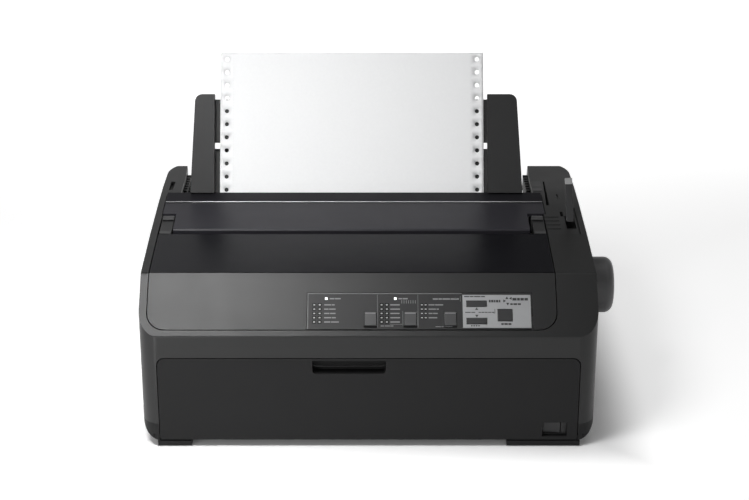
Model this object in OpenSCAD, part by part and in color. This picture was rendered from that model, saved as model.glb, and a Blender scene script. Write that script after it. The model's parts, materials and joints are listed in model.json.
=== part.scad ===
// Narrow carriage dot matrix printer with a hinged printer cover, loaded with one fanfold page.
// Front faces -Y, +Z is up, the knob is on the +X side, and the printer stands on Z = 0.
// Inside the modules Y is measured back from the front face and X from the middle of the housing.

/* [Housing] */
// Width of the housing without the knob
body_w = 400; // [392:1:420]
// Depth of the housing
body_d = 322; // [318:1:335]
// Height of the housing's roof above the table
body_h = 160; // [159:0.5:164]
// Height of the edge between the front and the sloped fascia
ledge_h = 107; // [104:0.5:110]
// Horizontal run of the sloped fascia
fascia_run = 43; // [41:0.5:45]
// Height of the edge between the fascia and the window
fascia_top = 149; // [147:0.5:150]
// Height of the housing's underside above the table
floor_z = 6.5; // [6:0.1:7]
// Wall of the housing
wall = 3; // [2.4:0.1:3.2]
// Radius of the upright corners at the front
corner_r = 18; // [10:1:20]
// Radius of the upright corners at the rear
rear_corner_r = 46; // [30:1:46]
// Radius of the lower edges seen from the front
bottom_r = 16; // [10:1:16]
// Height of the seam between the lower and the upper case
seam_z = 22.5; // [22.5:0.5:26]
// Gap round a cover
cover_gap = 0.7; // [0.5:0.1:1]

/* [Printer cover] */
// Width of the rail left of the cover
rail_left = 6.7; // [6.2:0.1:8]
// Width of the rail right of the cover
rail_right = 35.8; // [34:0.2:37]
// Sloped strip of the housing below the fascia
sill = 6; // [5:0.2:7]
// Wall of the cover
cover_t = 2.6; // [2.2:0.1:3]
// Where the window ends
window_end = 120; // [112:1:122]
// Distance of the hinge axis from the front
hinge_y = 158; // [157:0.5:159]
// Radius of the hinge pins
hinge_r = 2.5; // [2:0.1:3]
// Radius of the cover's lower corners
cover_r = 16; // [8:1:16]

/* [Front cover] */
// Width of the front cover
front_w = 369; // [363:1:369]
// Top edge of the front cover
front_top = 86.5; // [84:0.5:88]
// Wall of the front cover
front_t = 3; // [2.6:0.1:3.2]
// Width of the finger grip
grip_w = 64; // [50:1:74]
// Height of the finger grip
grip_h = 12.5; // [10:0.5:14]
// Depth of the finger grip
grip_d = 10; // [8:0.5:12]
// Middle of the finger grip
grip_x = -17; // [-25:1:-9]

/* [Control panel] */
// Left edge of the panel
panel_x0 = -53.4; // [-58:0.2:-52]
// Right edge of the panel
panel_x1 = 142; // [141.6:0.2:146]
// Length of the panel up the slope
panel_len = 34; // [33:0.2:35]
// Depth of the panel's housing
panel_depth = 16; // [15:0.5:17]
// Front wall of the panel
panel_wall = 2.4; // [2:0.1:2.6]
// Travel of a button
button_travel = 1; // [0.6:0.1:1.2]
// Gap between the panel and the cover
panel_gap = 0.4; // [0.3:0.1:0.8]
// Play round a button
button_play = 0.35; // [0.3:0.05:0.5]

/* [Paper] */
// Width of the fanfold page
paper_w = 254; // [248:0.5:256]
// Length of one page
page_len = 279.4; // [272:0.2:290]
// Distance between two sprocket holes
hole_pitch = 12.7; // [12:0.1:13]
// Distance of the hole row from the edge
hole_inset = 6.35; // [6:0.05:7]
// Radius of a sprocket hole
hole_r = 2; // [1.8:0.1:2.2]
// Thickness that the sheet is drawn with
paper_t = 0.2; // [0.15:0.05:0.25]
// Middle of the paper
paper_x = -16.1; // [-17:0.1:-15]
// Lean of the paper from upright
paper_lean = 25.5; // [25:0.5:26]
// Page above the exit slot
paper_above = 133.5; // [120:0.5:140]

/* [Platen and feed] */
// Radius of the platen
platen_r = 17; // [16.5:0.1:17.3]
// Distance of the platen from the front
platen_y = 130; // [129.5:0.1:131]
// Height of the platen
platen_z = 101; // [100.5:0.1:101.5]
// Radius of the platen shaft
shaft_r = 4; // [3.5:0.1:4.5]
// Radius of the knob
knob_r = 26; // [22:0.5:27]
// Length of the knob
knob_l = 25; // [20:0.5:28]
// Gap between the housing and the knob
knob_gap = 1.5; // [1:0.1:3]
// Module of the gears
gear_m = 1; // [1]
// Width of the gears
gear_w = 6; // [5:0.5:7]
// Teeth of the platen gear
platen_teeth = 40; // [40]
// Teeth of the front idler
idler_a_teeth = 48; // [48]
// Teeth of the rear idler
idler_b_teeth = 60; // [60]
// Teeth of the tractor gear
tractor_teeth = 40; // [40]
// Teeth of the motor pinion
pinion_teeth = 12; // [12]

/* [Print mechanism] */
// Inner face of the left side frame
frame_x0 = -174.4; // [-175.5:0.1:-174]
// Inner face of the right side frame
frame_x1 = 152; // [151.5:0.1:152.4]
// Sheet metal of the frames
sheet = 1.6; // [1.2:0.1:1.8]
// Width of the print head carriage
carriage_w = 56; // [50:1:60]
// Radius of the carriage shaft
rail_r = 5; // [4.5:0.1:5.2]
// Distance of the carriage shaft from the front
rail_y = 78; // [77.5:0.1:79]
// Height of the carriage shaft
rail_z = 78; // [77.5:0.1:78.5]
// Radius of the belt pulleys
pulley_r = 8; // [7:0.1:8.2]
// Running clearance of shafts and pins
run = 0.06; // [0.03:0.01:0.09]

/* [Tractors] */
// Distance of the tractor shaft from the rear
tractor_back = 47; // [46:0.2:48]
// Height of the tractor shaft
tractor_z = 112; // [111:0.2:112.4]
// Width of a tractor
tractor_w = 20; // [18:0.5:22]
// Length of a tractor
tractor_l = 44; // [42:0.5:46]

/* [Paper guide] */
// Height of the guide board up the slope
board_len = 88; // [80:1:92]
// Wall of the guide board
board_t = 3; // [2.4:0.1:3.4]
// Width of the left edge guide at its foot
left_post_w = 23; // [19:0.5:24]
// Width of the right edge guide at its foot
right_post_w = 33.4; // [28:0.2:35]
// Edge guides above the board
post_extra = 4; // [2:0.5:8]

/* [Hidden] */
$fn = 48;

case_grey = [0.17, 0.17, 0.18];
trim_grey = [0.22, 0.22, 0.24];
dark = [0.09, 0.09, 0.1];
steel = [0.72, 0.73, 0.75];
nylon = [0.88, 0.87, 0.82];

// the small gap at which a piece that doesn't move rests beside its seat
seat = 0.3;
half_w = body_w / 2;
origin_x = -(knob_gap + knob_l) / 2;
origin_y = -body_d / 2;
slope = atan2(fascia_top - ledge_h, fascia_run);
slope_len = norm([fascia_run, fascia_top - ledge_h]);
// slight crown of the roof behind the fascia, as heights below the roof's top
roof = [[fascia_run, fascia_top], [window_end, body_h - 4.6], [190, body_h - 1], [232, body_h],
        [body_d - 18, body_h - 2]];
rear_shoulder = body_h - 20;
side_points = concat([[0, floor_z], [body_d, floor_z], [body_d, rear_shoulder]],
                     [for (i = [len(roof) - 1:-1:0]) roof[i]], [[0, ledge_h]]);
side_radii = [0, 0, 8, 14, 0, 0, 0, 5, 3];
plan_points = [[-half_w, 0], [half_w, 0], [half_w, body_d], [-half_w, body_d]];
plan_radii = [corner_r, corner_r, rear_corner_r, rear_corner_r];
front_points = [[-half_w, floor_z], [half_w, floor_z], [half_w, body_h + 20], [-half_w, body_h + 20]];
front_radii = [bottom_r, bottom_r, 0, 0];

// edges of the big openings
cover_x0 = -half_w + rail_left;
cover_x1 = half_w - rail_right;
tray_x0 = cover_x0 - 0.7;
tray_x1 = cover_x1 + 2.1;
rear_x0 = -half_w + 19;
rear_x1 = half_w - 41.5;
tray_y = 165;
lip_y0 = 193.2;
lip_y1 = 212.6;
rear_sill = 95;
// the rear rails open outwards by this much behind this place
rear_flare = 3;
flare_y = body_d - 52;
comb_y = [body_d - 80:7:body_d - 38];
lip_clear = 1;
// the lip's outline runs clockwise, so that an inset grows it
lip_section = [[lip_y0, body_h - 4], [lip_y0, body_h - 0.6], [211.6, body_h + 2.3], [212.3, body_h + 1.6],
               [209.6, body_h - 4]];
arm_w = 11;
arm_left = cover_x0 + 1.2;
arm_right = cover_x1 - 1.2;
hinge_z = body_h - 9;
pin_reach = 4.4;

// the paper's route: down the guide, round a bend and round the front of the platen
exit_y = 214.7;
exit_z = body_h + 3.7;
guide_angle = 90 - paper_lean;
feed_angle = 18;
bend_r = 25;
wrap_r = platen_r + 0.45 + paper_t / 2;
guide_dir = [cos(guide_angle), sin(guide_angle)];
feed_dir = [cos(feed_angle), sin(feed_angle)];
tangent = [platen_y, platen_z] + wrap_r * [-sin(feed_angle), cos(feed_angle)];
exit_point = [exit_y, exit_z];
cross_t = cross(exit_point - tangent, guide_dir) / cross(feed_dir, guide_dir);
bend_corner = tangent + cross_t * feed_dir;
bend_tangent = bend_r * tan((guide_angle - feed_angle) / 2);
bend_start = bend_corner + bend_tangent * guide_dir;
bend_centre = bend_start + bend_r * [-sin(guide_angle), cos(guide_angle)];
page_top = exit_point + paper_above * guide_dir;
len_guide = norm(page_top - bend_start);
len_bend = bend_r * (guide_angle - feed_angle) * PI / 180;
len_feed = cross_t - bend_tangent;
wrap_angle = (page_len - len_guide - len_bend - len_feed) / wrap_r * 180 / PI;
paper_x0 = paper_x - paper_w / 2;
paper_x1 = paper_x + paper_w / 2;

// gear train behind the right side frame
gear_x = frame_x1 + sheet + 2.4;
platen_pitch = gear_m * platen_teeth / 2;
idler_a_pitch = gear_m * idler_a_teeth / 2;
idler_b_pitch = gear_m * idler_b_teeth / 2;
tractor_pitch = gear_m * tractor_teeth / 2;
pinion_pitch = gear_m * pinion_teeth / 2;
platen_at = [platen_y, platen_z];
tractor_y = body_d - tractor_back;
tractor_at = [tractor_y, tractor_z];
idler_a_at = platen_at + (platen_pitch + idler_a_pitch) * [cos(-10), sin(-10)];
idler_b_at = lower_mesh(idler_a_at, idler_a_pitch + idler_b_pitch, tractor_at, idler_b_pitch + tractor_pitch);
pinion_at = idler_a_at + (idler_a_pitch + pinion_pitch) * [0, -1];
idler_a_phase = meshed(platen_at, 0, platen_teeth, idler_a_at, idler_a_teeth);
idler_b_phase = meshed(idler_a_at, idler_a_phase, idler_a_teeth, idler_b_at, idler_b_teeth);
tractor_phase = meshed(idler_b_at, idler_b_phase, idler_b_teeth, tractor_at, tractor_teeth);
pinion_phase = meshed(idler_a_at, idler_a_phase, idler_a_teeth, pinion_at, pinion_teeth);
post_r = 3;
knob_x0 = half_w + knob_gap;
knob_x1 = knob_x0 + knob_l;
// lower edge of the inner rail walls, above the tractor gear
skirt_z = tractor_z + tractor_pitch + gear_m + 2;
pinion_shaft_r = 1.5;

// print mechanism
head_face = platen_y - wrap_r - paper_t / 2 - 0.75;
ribbon_y = head_face + 0.35;
ribbon_t = 0.15;
belt_y = 60;
belt_z = 58;
belt_h = 6;
belt_t = 1;
pulley_x0 = frame_x0 + 14.4;
pulley_x1 = frame_x1 - 27;
front_rail_y = 50;
front_rail_z = 84;
front_rail_r = 3;
cartridge_x0 = frame_x0 + 9.4;
cartridge_x1 = frame_x1 - 9;
cartridge_z = 96;
cartridge_h = 18;
frame_y0 = 38;
frame_y1 = body_d - 22;
frame_rest = 104;
frame_z0 = 12;
chassis_z = frame_z0 + sheet;
rod_drop = 16;
rod_r = 3;
screw_x = [frame_x0 + 10, frame_x1 - 8];
screw_y = [frame_y0 + 6, frame_y1 - 4];

// paper guide
guide_back = 1.5;
pivot_y = 228;
pivot_z = body_h - 10;
pivot_r = 3;
left_post_x = paper_x0 - 4.9 - left_post_w;
right_post_x = paper_x1 + 3.3;
left_taper = 4.3;
right_taper = 5.2;
board_x0 = left_post_x + 5;
board_x1 = right_post_x + right_post_w - 8;

// tension unit
bar_y0 = 130;
bar_y1 = 192;
bar_x0 = cover_x0 + 12.9;
bar_x1 = cover_x1 - 15.4;
tab_x0 = tray_x0 + 0.8;
tab_x1 = tray_x1 - 0.8;
roller_y = 178;
roller_r = 6;
roller_z = tangent[1] + (roller_y - tangent[0]) * tan(feed_angle) + (roller_r + 0.5) / cos(feed_angle);
frame_saddle = 136;

// front cover hinge and power switch
front_x0 = -front_w / 2;
front_x1 = front_w / 2;
front_hinge = [3, floor_z + 3.7];
front_pin_r = 2;
switch_x0 = 153.2;
switch_w = 21.9;
switch_z0 = 10.4;
switch_h = 13.6;
rocker_w = 15.1;
rocker_h = 9.8;

// lever at the top right
lever_x0 = 184;
lever_w = 6.8;
lever_at = [136, body_h - 22];
lever_lean = 38.7;
lever_len = 65.5;

// rear sockets
inlet_x = 115;
inlet_z = 51;
port_x = -90;
board_top = chassis_z + 6 + 1.6;
board_y0 = 190;
board_y1 = frame_y1 - 6;

// buttons: middle across the panel, middle up the slope, width, height up the slope
left_button = [1.6, 16.7, 10.4, 12.6];
middle_button = [36.2, 16.7, 10.4, 12.6];
right_button = [70.9, 16.7, 10.4, 12.6];
upper_bar = [94, 31, 17.4, 5.4];
lower_bar = [94, 14.8, 17.4, 5.4];
square_button = [118.6, 20.3, 12.4, 11];
label_x0 = 81.8;
label_x1 = 141.2;
label_s0 = 8.4;
label_s1 = 39.4;
label_t = 0.4;
panel_s0 = sill + 1.1;
panel_s1 = panel_s0 + panel_len;

// ---------- functions ----------

function unit(v) = v / norm(v);
// a corner of a closed outline moved inwards by d, for an outline that runs anticlockwise
function moved(a, b, c, d) =
  let (u = unit(b - a), w = unit(c - b), n = [-u[1], u[0]], m = [-w[1], w[0]])
  b + d * (n + m) / (1 + n * m);
function inset(p, d) = [for (i = [0:len(p) - 1]) moved(p[(i + len(p) - 1) % len(p)], p[i], p[(i + 1) % len(p)], d)];
function short_way(a) = a > 180 ? a - 360 : a < -180 ? a + 360 : a;
// a corner as an arc of radius r in n steps
function arc_corner(a, b, c, r, n) = r < 0.05 ? [b] :
  let (u = unit(a - b), w = unit(c - b), half = acos(u * w) / 2, t = r / tan(half),
       m = b + unit(u + w) * (r / sin(half)), p = b + u * t - m, q = b + w * t - m,
       from = atan2(p[1], p[0]), sweep = short_way(atan2(q[1], q[0]) - from))
  [for (k = [0:n]) m + r * [cos(from + sweep * k / n), sin(from + sweep * k / n)]];
function rounded(p, r, n = 6) = [for (i = [0:len(p) - 1])
  each arc_corner(p[(i + len(p) - 1) % len(p)], p[i], p[(i + 1) % len(p)], r[i], n)];
function reduced(r, d) = [for (x = r) max(0, x - d)];
function frame_rect(x0, y0, x1, y1) = [[x0, y0], [x1, y0], [x1, y1], [x0, y1]];
function roof_z(y) = lookup(y, roof);
// the lower of the two points at distance ra from a and rb from b
function lower_mesh(a, ra, b, rb) =
  let (d = norm(b - a), along = (ra * ra - rb * rb + d * d) / (2 * d), h = sqrt(max(0, ra * ra - along * along)),
       u = (b - a) / d)
  a + along * u + h * [u[1], -u[0]];
// the angle at which gear b has a gap where gear a has a tooth
function meshed(a, a_phase, a_teeth, b, b_teeth) =
  let (way = atan2(b[1] - a[1], b[0] - a[0]), u = (way - a_phase) * a_teeth / 360)
  way + 180 - (0.5 - u) * 360 / b_teeth;
// gear outline: four points a tooth, wide at the root and narrow at the tip
function gear_outline(teeth, m, phase) =
  let (r = teeth * m / 2, step = 360 / teeth)
  [for (i = [0:teeth - 1]) each
    [for (k = [[-0.32, -1.2], [-0.09, 0.85], [0.09, 0.85], [0.32, -1.2]])
      (r + k[1] * m) * [cos(phase + (i + k[0]) * step), sin(phase + (i + k[0]) * step)]]];
// point and direction of the page at length l from its top edge
function page_at(l) =
  l < len_guide ? [page_top - l * guide_dir, guide_angle] :
  l < len_guide + len_bend ?
    let (a = guide_angle - (l - len_guide) / bend_r * 180 / PI)
    [bend_centre - bend_r * [-sin(a), cos(a)], a] :
  l < len_guide + len_bend + len_feed ?
    [tangent + (len_guide + len_bend + len_feed - l) * feed_dir, feed_angle] :
    let (a = feed_angle + (l - len_guide - len_bend - len_feed) / wrap_r * 180 / PI)
    [platen_at + wrap_r * [-sin(a), cos(a)], a];
function page_side(d) = [for (l = page_stops) let (q = page_at(l)) q[0] + d * [-sin(q[1]), cos(q[1])]];
page_stops = concat([0], [for (k = [0:6]) len_guide + len_bend * k / 6 + (k == 6 ? 0.001 : 0)],
                    [for (k = [0:14]) len_guide + len_bend + len_feed + (page_len - len_guide - len_bend - len_feed) * k / 14]);

// ---------- shared shapes ----------

module place() translate([origin_x, origin_y, 0]) children();
module box(a, b) translate(a) cube(b - a);
// a shape drawn in Y and Z, drawn out along X
module along_x(x0, x1) translate([x0, 0, 0]) rotate([90, 0, 90]) linear_extrude(x1 - x0) children();
module rod_x(x0, x1, at, r) translate([x0, at[0], at[1]]) rotate([0, 90, 0]) cylinder(h = x1 - x0, r = r);
module rod_z(z0, z1, x, y, r) translate([x, y, z0]) cylinder(h = z1 - z0, r = r);
// X across, Y up the fascia, Z out of it
module on_fascia() translate([0, 0, ledge_h]) rotate([slope, 0, 0]) children();
// X across, Y up the paper, Z towards the viewer
module on_guide() translate([0, exit_y, exit_z]) rotate([guide_angle, 0, 0]) children();
module rounded_plate(x0, y0, x1, y1, r, z0, z1)
  translate([0, 0, z0]) linear_extrude(z1 - z0)
    polygon(rounded(frame_rect(x0, y0, x1, y1), [r, r, r, r], 4));

// the outer form of the whole housing, moved inwards by d
module housing_form(d) intersection() {
  along_x(-half_w + d, half_w - d) polygon(rounded(inset(side_points, d), reduced(side_radii, d)));
  linear_extrude(body_h + 10) polygon(rounded(inset(plan_points, d), reduced(plan_radii, d), 12));
  translate([0, body_d + 1, 0]) rotate([90, 0, 0]) linear_extrude(body_d + 2)
    polygon(rounded(inset(front_points, d), reduced(front_radii, d)));
}

module gear(at, teeth, phase, bore) {
  difference() {
    along_x(gear_x, gear_x + gear_w) translate(at) polygon(gear_outline(teeth, gear_m, phase));
    rod_x(gear_x - 1, gear_x + gear_w + 1, at, bore);
    if (teeth > 30) for (k = [0:4]) let (r = teeth * gear_m / 2)
      rod_x(gear_x - 1, gear_x + gear_w + 1, at + 0.58 * r * [cos(k * 72 + 20), sin(k * 72 + 20)], 0.2 * r);
  }
}

// ---------- housing ----------

module lower_case() color(case_grey) place() {
  foot_top = floor_z - 0.9;
  difference() {
    intersection() {
      housing_form(0);
      box([-half_w - 1, -1, 0], [half_w + 1, body_d + 1, seam_z]);
    }
    housing_form(wall);
    box([front_x0 - cover_gap / 2, -1, 0], [front_x1 + cover_gap / 2, front_hinge[0] + 5.7, seam_z + 1]);
    for (x = [front_x0 - 5.5, front_x1]) rod_x(x, x + 5.5, front_hinge, front_pin_r + run);
    port_opening();
    for (x = screw_x, y = screw_y) rod_z(floor_z - 1, floor_z + wall + 1, x, y, 1.5);
  }
  for (x = screw_x, y = screw_y)
    difference() {
      rod_z(floor_z + wall, frame_z0, x, y, 6);
      rod_z(floor_z, frame_z0 + 1, x, y, 1.5);
    }
  // the two stepped feet that show at the front
  for (x = [[front_x0 - 2, 30], [122.3, 64.7]]) {
    box([x[0], 1, 0.8], [x[0] + x[1], 26, foot_top]);
    box([x[0], front_hinge[0] + 5.7, foot_top], [x[0] + x[1], 26, floor_z]);
  }
  // ears that carry the pins of the front cover
  for (s = [-1, 1]) difference() {
    intersection() {
      housing_form(0.2);
      box([s > 0 ? front_x1 + 0.7 : front_x0 - 6.7, 0, floor_z], [s > 0 ? front_x1 + 6.7 : front_x0 - 0.7, 9, 18]);
    }
    rod_x(-half_w, half_w, front_hinge, front_pin_r + run);
  }
}

module port_opening() box([port_x - 30, body_d - wall - 1, board_top - 1], [port_x + 30, body_d + 1, board_top + 17]);

// the opening between the rear rails in plan, grown at its sides
module mouth_plan(grow, y0) polygon([
  [rear_x0 - grow, y0], [rear_x1 + grow, y0], [rear_x1 + grow, flare_y], [rear_x1 + grow + rear_flare, body_d + 1],
  [rear_x0 - grow - rear_flare, body_d + 1], [rear_x0 - grow, flare_y]
]);

module upper_case() color(case_grey) place() {
  lever_slot = lever_at[0];
  difference() {
    union() {
      difference() {
        housing_form(0);
        housing_form(wall);
      }
      intersection() {
        housing_form(wall / 2);
        union() {
          // inner walls of the two rear rails
          translate([0, 0, skirt_z]) linear_extrude(body_h - skirt_z) difference() {
            mouth_plan(wall, lip_y1);
            mouth_plan(0, lip_y1 - 1);
          }
          // bosses for the cover's hinge pins
          box([-half_w + 1, hinge_y - 8, hinge_z - 8], [cover_x0 - 0.3, hinge_y + 6.8, body_h]);
          box([cover_x1 + 0.3, hinge_y - 8, hinge_z - 8], [cover_x1 + 5.8, hinge_y + 6.8, body_h]);
        }
      }
      rod_x(lever_x0 - 2, half_w - 1, lever_at, 3);
    }
    box([-half_w - 1, -1, -1], [half_w + 1, body_d + 1, seam_z]);
    // opening of the front cover
    translate([0, wall + 5, 0]) rotate([90, 0, 0]) linear_extrude(wall + 6)
      polygon(rounded(frame_rect(front_x0 - cover_gap / 2, 0, front_x1 + cover_gap / 2, front_top + cover_gap / 2),
                      [0, 0, 7, 7], 4));
    // opening of the printer cover
    on_fascia() translate([0, 0, -12]) linear_extrude(24)
      polygon(rounded(frame_rect(cover_x0, sill, cover_x1, slope_len + 15), [cover_r, cover_r, 0, 0], 6));
    box([cover_x0, fascia_run - 2, 120], [cover_x1, tray_y + 0.1, body_h + 9]);
    // opening of the tension unit, the exit lip and the paper guide
    box([tray_x0, tray_y, 120], [tray_x1, lip_y1, body_h + 9]);
    translate([0, 0, rear_sill]) linear_extrude(body_h) mouth_plan(0, lip_y1 - 1);
    rod_x(-half_w + 1.5, cover_x0 + 1, [hinge_y, hinge_z], hinge_r + run);
    rod_x(cover_x1 - 1, cover_x1 + 7, [hinge_y, hinge_z], hinge_r + run);
    rod_x(rear_x0 - wall - 1, rear_x0 + 1, [pivot_y, pivot_z], pivot_r + run);
    rod_x(rear_x1 - 1, rear_x1 + wall + 1, [pivot_y, pivot_z], pivot_r + run);
    // hole for the knob's shaft
    rod_x(half_w - wall - 1, half_w + 1, platen_at, shaft_r + 2);
    // slots in the top of the rails
    box([lever_x0 - 1, lever_slot - 4, body_h - 12], [lever_x0 + lever_w + 1, lever_slot + 24, body_h + 1]);
    translate([0, 0, body_h - 8]) linear_extrude(9)
      polygon([[tray_x1 + 2.3, 186], [tray_x1 + 5.3, 186], [tray_x1 + 6, 250], [tray_x1 + 4.6, 250]]);
    for (b = [[179.8, 159.5, 2.6, 11], [180.6, 202, 1.2, 12], [-half_w + 6.5, 225, 4, 25]])
      box([b[0], b[1], body_h - 8], [b[0] + b[2], b[1] + b[3], body_h + 1]);
    // shallow groove beside the lever
    along_x(193, 194.6) polygon([[120, roof_z(120) - 1.5], [180, roof_z(180) - 1.5], [180, body_h + 1], [120, body_h + 1]]);
    // sockets in the rear wall
    box([inlet_x - 14.4, body_d - wall - 1, inlet_z - 10.4], [inlet_x + 14.4, body_d + 1, inlet_z + 10.4]);
    port_opening();
  }
  // ledges that carry the exit lip and the lower edge of the cover, the right one with a lower arm to the side
  box([-half_w + wall - 0.5, lip_y0 + 0.3, body_h - 9], [tray_x0 + 8, lip_y1 - 1.6, body_h - 4]);
  box([tray_x1 - 6, lip_y0 + 0.3, body_h - 15], [tray_x1 + 1.3, lip_y1 - 1.6, body_h - 4]);
  box([tray_x1 - 6, lip_y0 + 0.3, body_h - 15], [half_w - wall + 0.5, lip_y1 - 1.6, body_h - 11]);
  on_fascia() for (x = [[cover_x0 + cover_r, panel_x0 - 2.5], [panel_x1 + 2.5, cover_x1 - 4]])
    box([x[0], sill - 4, -cover_t - 2.4], [x[1], sill + 2.5, -cover_t - seat]);
  // combs on the inside of the rear rails, the left one in two steps
  for (y = comb_y) for (c = [[rear_x0 - wall / 2, rear_x0 + 3.5, 7], [rear_x0 + 3.4, rear_x0 + 6, 12.5],
                             [rear_x1 - 4.2, rear_x1 + wall / 2, 7]])
    box([c[0], y, body_h - 22], [c[1], y + 3.5, body_h - c[2]]);
}

module exit_lip() color(dark) place() along_x(tab_x0, tab_x1) polygon(lip_section);

module front_cover() color(case_grey) place() {
  difference() {
    union() {
      translate([0, front_t, 0]) rotate([90, 0, 0]) linear_extrude(front_t)
        polygon(rounded(frame_rect(front_x0 + cover_gap / 2, floor_z + 0.7, front_x1 - cover_gap / 2,
                                   front_top - cover_gap / 2), [0, 0, 7, 7], 4));
      // the grip's pocket
      box([grip_x - grip_w / 2 - 2, front_t - 1, front_top - grip_h - 4.4],
          [grip_x + grip_w / 2 + 2, grip_d + 2, front_top - 0.6]);
      // stiffening ribs
      for (z = [32, 54]) box([front_x0 + 12, front_t - 1, z], [front_x1 - 12, front_t + 2.5, z + 1.8]);
    }
    translate([0, grip_d, 0]) rotate([90, 0, 0]) linear_extrude(grip_d + 1)
      polygon(rounded(frame_rect(grip_x - grip_w / 2, front_top - grip_h - 2.4, grip_x + grip_w / 2, front_top - 2.4),
                      [3, 3, 0, 0], 4));
    box([switch_x0, -1, switch_z0], [switch_x0 + switch_w, front_t + 1, switch_z0 + switch_h]);
  }
  // hinge pins at the lower corners
  for (s = [-1, 1]) let (x = s > 0 ? front_x1 - 3 : front_x0 - 5)
    rod_x(x, x + 8, front_hinge, front_pin_r);
}

module printer_cover() color(case_grey) place() {
  x0 = cover_x0 + cover_gap;
  x1 = cover_x1 - cover_gap;
  difference() {
    on_fascia() translate([0, 0, -cover_t]) linear_extrude(cover_t)
      polygon(rounded(frame_rect(x0, sill + cover_gap, x1, slope_len), [cover_r, cover_r, 0, 0], 6));
    on_fascia() box([panel_x0 - panel_gap, -1, -cover_t - 1], [panel_x1 + panel_gap, panel_s1 + panel_gap, 1]);
  }
  // side bars under the window, which run on into the hinge arms
  for (s = [-1, 1]) {
    a = s > 0 ? arm_right - arm_w : arm_left;
    along_x(a, a + arm_w) polygon([
      [fascia_run - 3, fascia_top - 8], [fascia_run + 3, fascia_top - cover_t - 4],
      [window_end - 2, roof_z(window_end) - cover_t - 5], [hinge_y, hinge_z - 5],
      [hinge_y, hinge_z + 5], [hinge_y - 6, roof_z(hinge_y) - 0.6], [window_end + 0.6, roof_z(window_end) - 0.2],
      [window_end + 0.6, roof_z(window_end) - cover_t - 0.1], [fascia_run + 1, fascia_top - cover_t - 0.4],
      [fascia_run + 0.4, fascia_top - cover_t + 0.4], [fascia_run - 1.5, fascia_top - cover_t - 0.2]
    ]);
    rod_x(a, a + arm_w, [hinge_y, hinge_z], 5);
    rod_x(s > 0 ? a + arm_w - 1 : a - pin_reach, s > 0 ? a + arm_w + pin_reach : a + 1, [hinge_y, hinge_z], hinge_r);
  }
}

module cover_window() color([0.12, 0.12, 0.14, 0.85]) place()
  along_x(cover_x0 + cover_gap, cover_x1 - cover_gap) polygon([
    [fascia_run + 0.9, roof_z(fascia_run + 0.9)], [fascia_run + 0.9 + cover_t * tan(slope), fascia_top - cover_t],
    [window_end, roof_z(window_end) - cover_t], [window_end, roof_z(window_end)]
  ]);

// ---------- control panel ----------

module button_hole(b, grow, z0, z1)
  box([b[0] - b[2] / 2 - grow, b[1] - b[3] / 2 - grow, z0], [b[0] + b[2] / 2 + grow, b[1] + b[3] / 2 + grow, z1]);

module control_panel() color(case_grey) place() {
  difference() {
    on_fascia() box([panel_x0, panel_s0, -panel_depth], [panel_x1, panel_s1, 0]);
    on_fascia() {
      box([panel_x0 + 2, panel_s0 + 2, -panel_depth - 1], [panel_x1 - 2, panel_s1 - 2, -panel_wall]);
      for (b = [left_button, middle_button, right_button, upper_bar, lower_bar, square_button])
        button_hole(b, button_play, -panel_wall - 1, 1);
      box([label_x0, label_s0, -label_t], [label_x1, label_s1, 1]);
    }
  }
  on_fascia() for (x = [panel_x0 + 22, panel_x1 - 6, 22], s = [panel_s0 + 4.2, panel_s1 - 4.2])
    rod_z(-panel_depth + 4.6, -panel_wall + 0.1, x, s, 2);
  // web and flange against the inside of the front
  for (x = [panel_x0 + 8, (panel_x0 + panel_x1) / 2, panel_x1 - 14])
    along_x(x, x + 6) polygon(concat(
      [[wall, ledge_h - 19], [wall + 3, ledge_h - 19], [wall + 3, ledge_h - 7]],
      [for (n = [-12, -7]) [panel_s0 * cos(slope) - n * sin(slope), ledge_h + panel_s0 * sin(slope) + n * cos(slope)]],
      [[wall, ledge_h - 4]]));
}

module panel_label() color([0.62, 0.63, 0.65]) place() on_fascia() difference() {
  box([label_x0 + 0.1, label_s0 + 0.1, -label_t], [label_x1 - 0.1, label_s1 - 0.1, 0]);
  for (b = [upper_bar, lower_bar, square_button]) button_hole(b, button_play, -1, 1);
}

module panel_board() color([0.1, 0.35, 0.18]) place() on_fascia() {
  top = -panel_depth + 4.6;
  box([panel_x0 + 2.3, panel_s0 + 2.3, top - 1.6], [panel_x1 - 2.3, panel_s1 - 2.3, top]);
  for (b = [left_button, middle_button, right_button, upper_bar, lower_bar, square_button])
    rod_z(top, top + 1.2, b[0], b[1], 1.6);
  for (x = [-44.8, 13.6, 48], k = [0:3])
    box([x - 1.5, 15 + k * 4.4, top], [x + 1.5, 17 + k * 4.4, -panel_wall - 0.4]);
}

module button(b) color(dark) place() on_fascia() {
  top = -panel_depth + 4.6;
  rounded_plate(b[0] - b[2] / 2, b[1] - b[3] / 2, b[0] + b[2] / 2, b[1] + b[3] / 2, 0.8, -panel_wall - 2, 0.9);
  box([b[0] - b[2] / 2 - 1, b[1] - b[3] / 2 - 1, -panel_wall - 2.3], [b[0] + b[2] / 2 + 1, b[1] + b[3] / 2 + 1, -panel_wall - seat]);
  rod_z(top + 1.2 + button_travel + 0.3, -panel_wall - 1, b[0], b[1], 1.6);
}
module button_left() button(left_button);
module button_middle() button(middle_button);
module button_right() button(right_button);
module button_upper_bar() button(upper_bar);
module button_lower_bar() button(lower_bar);
module button_square() button(square_button);

// ---------- power switch ----------

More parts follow.
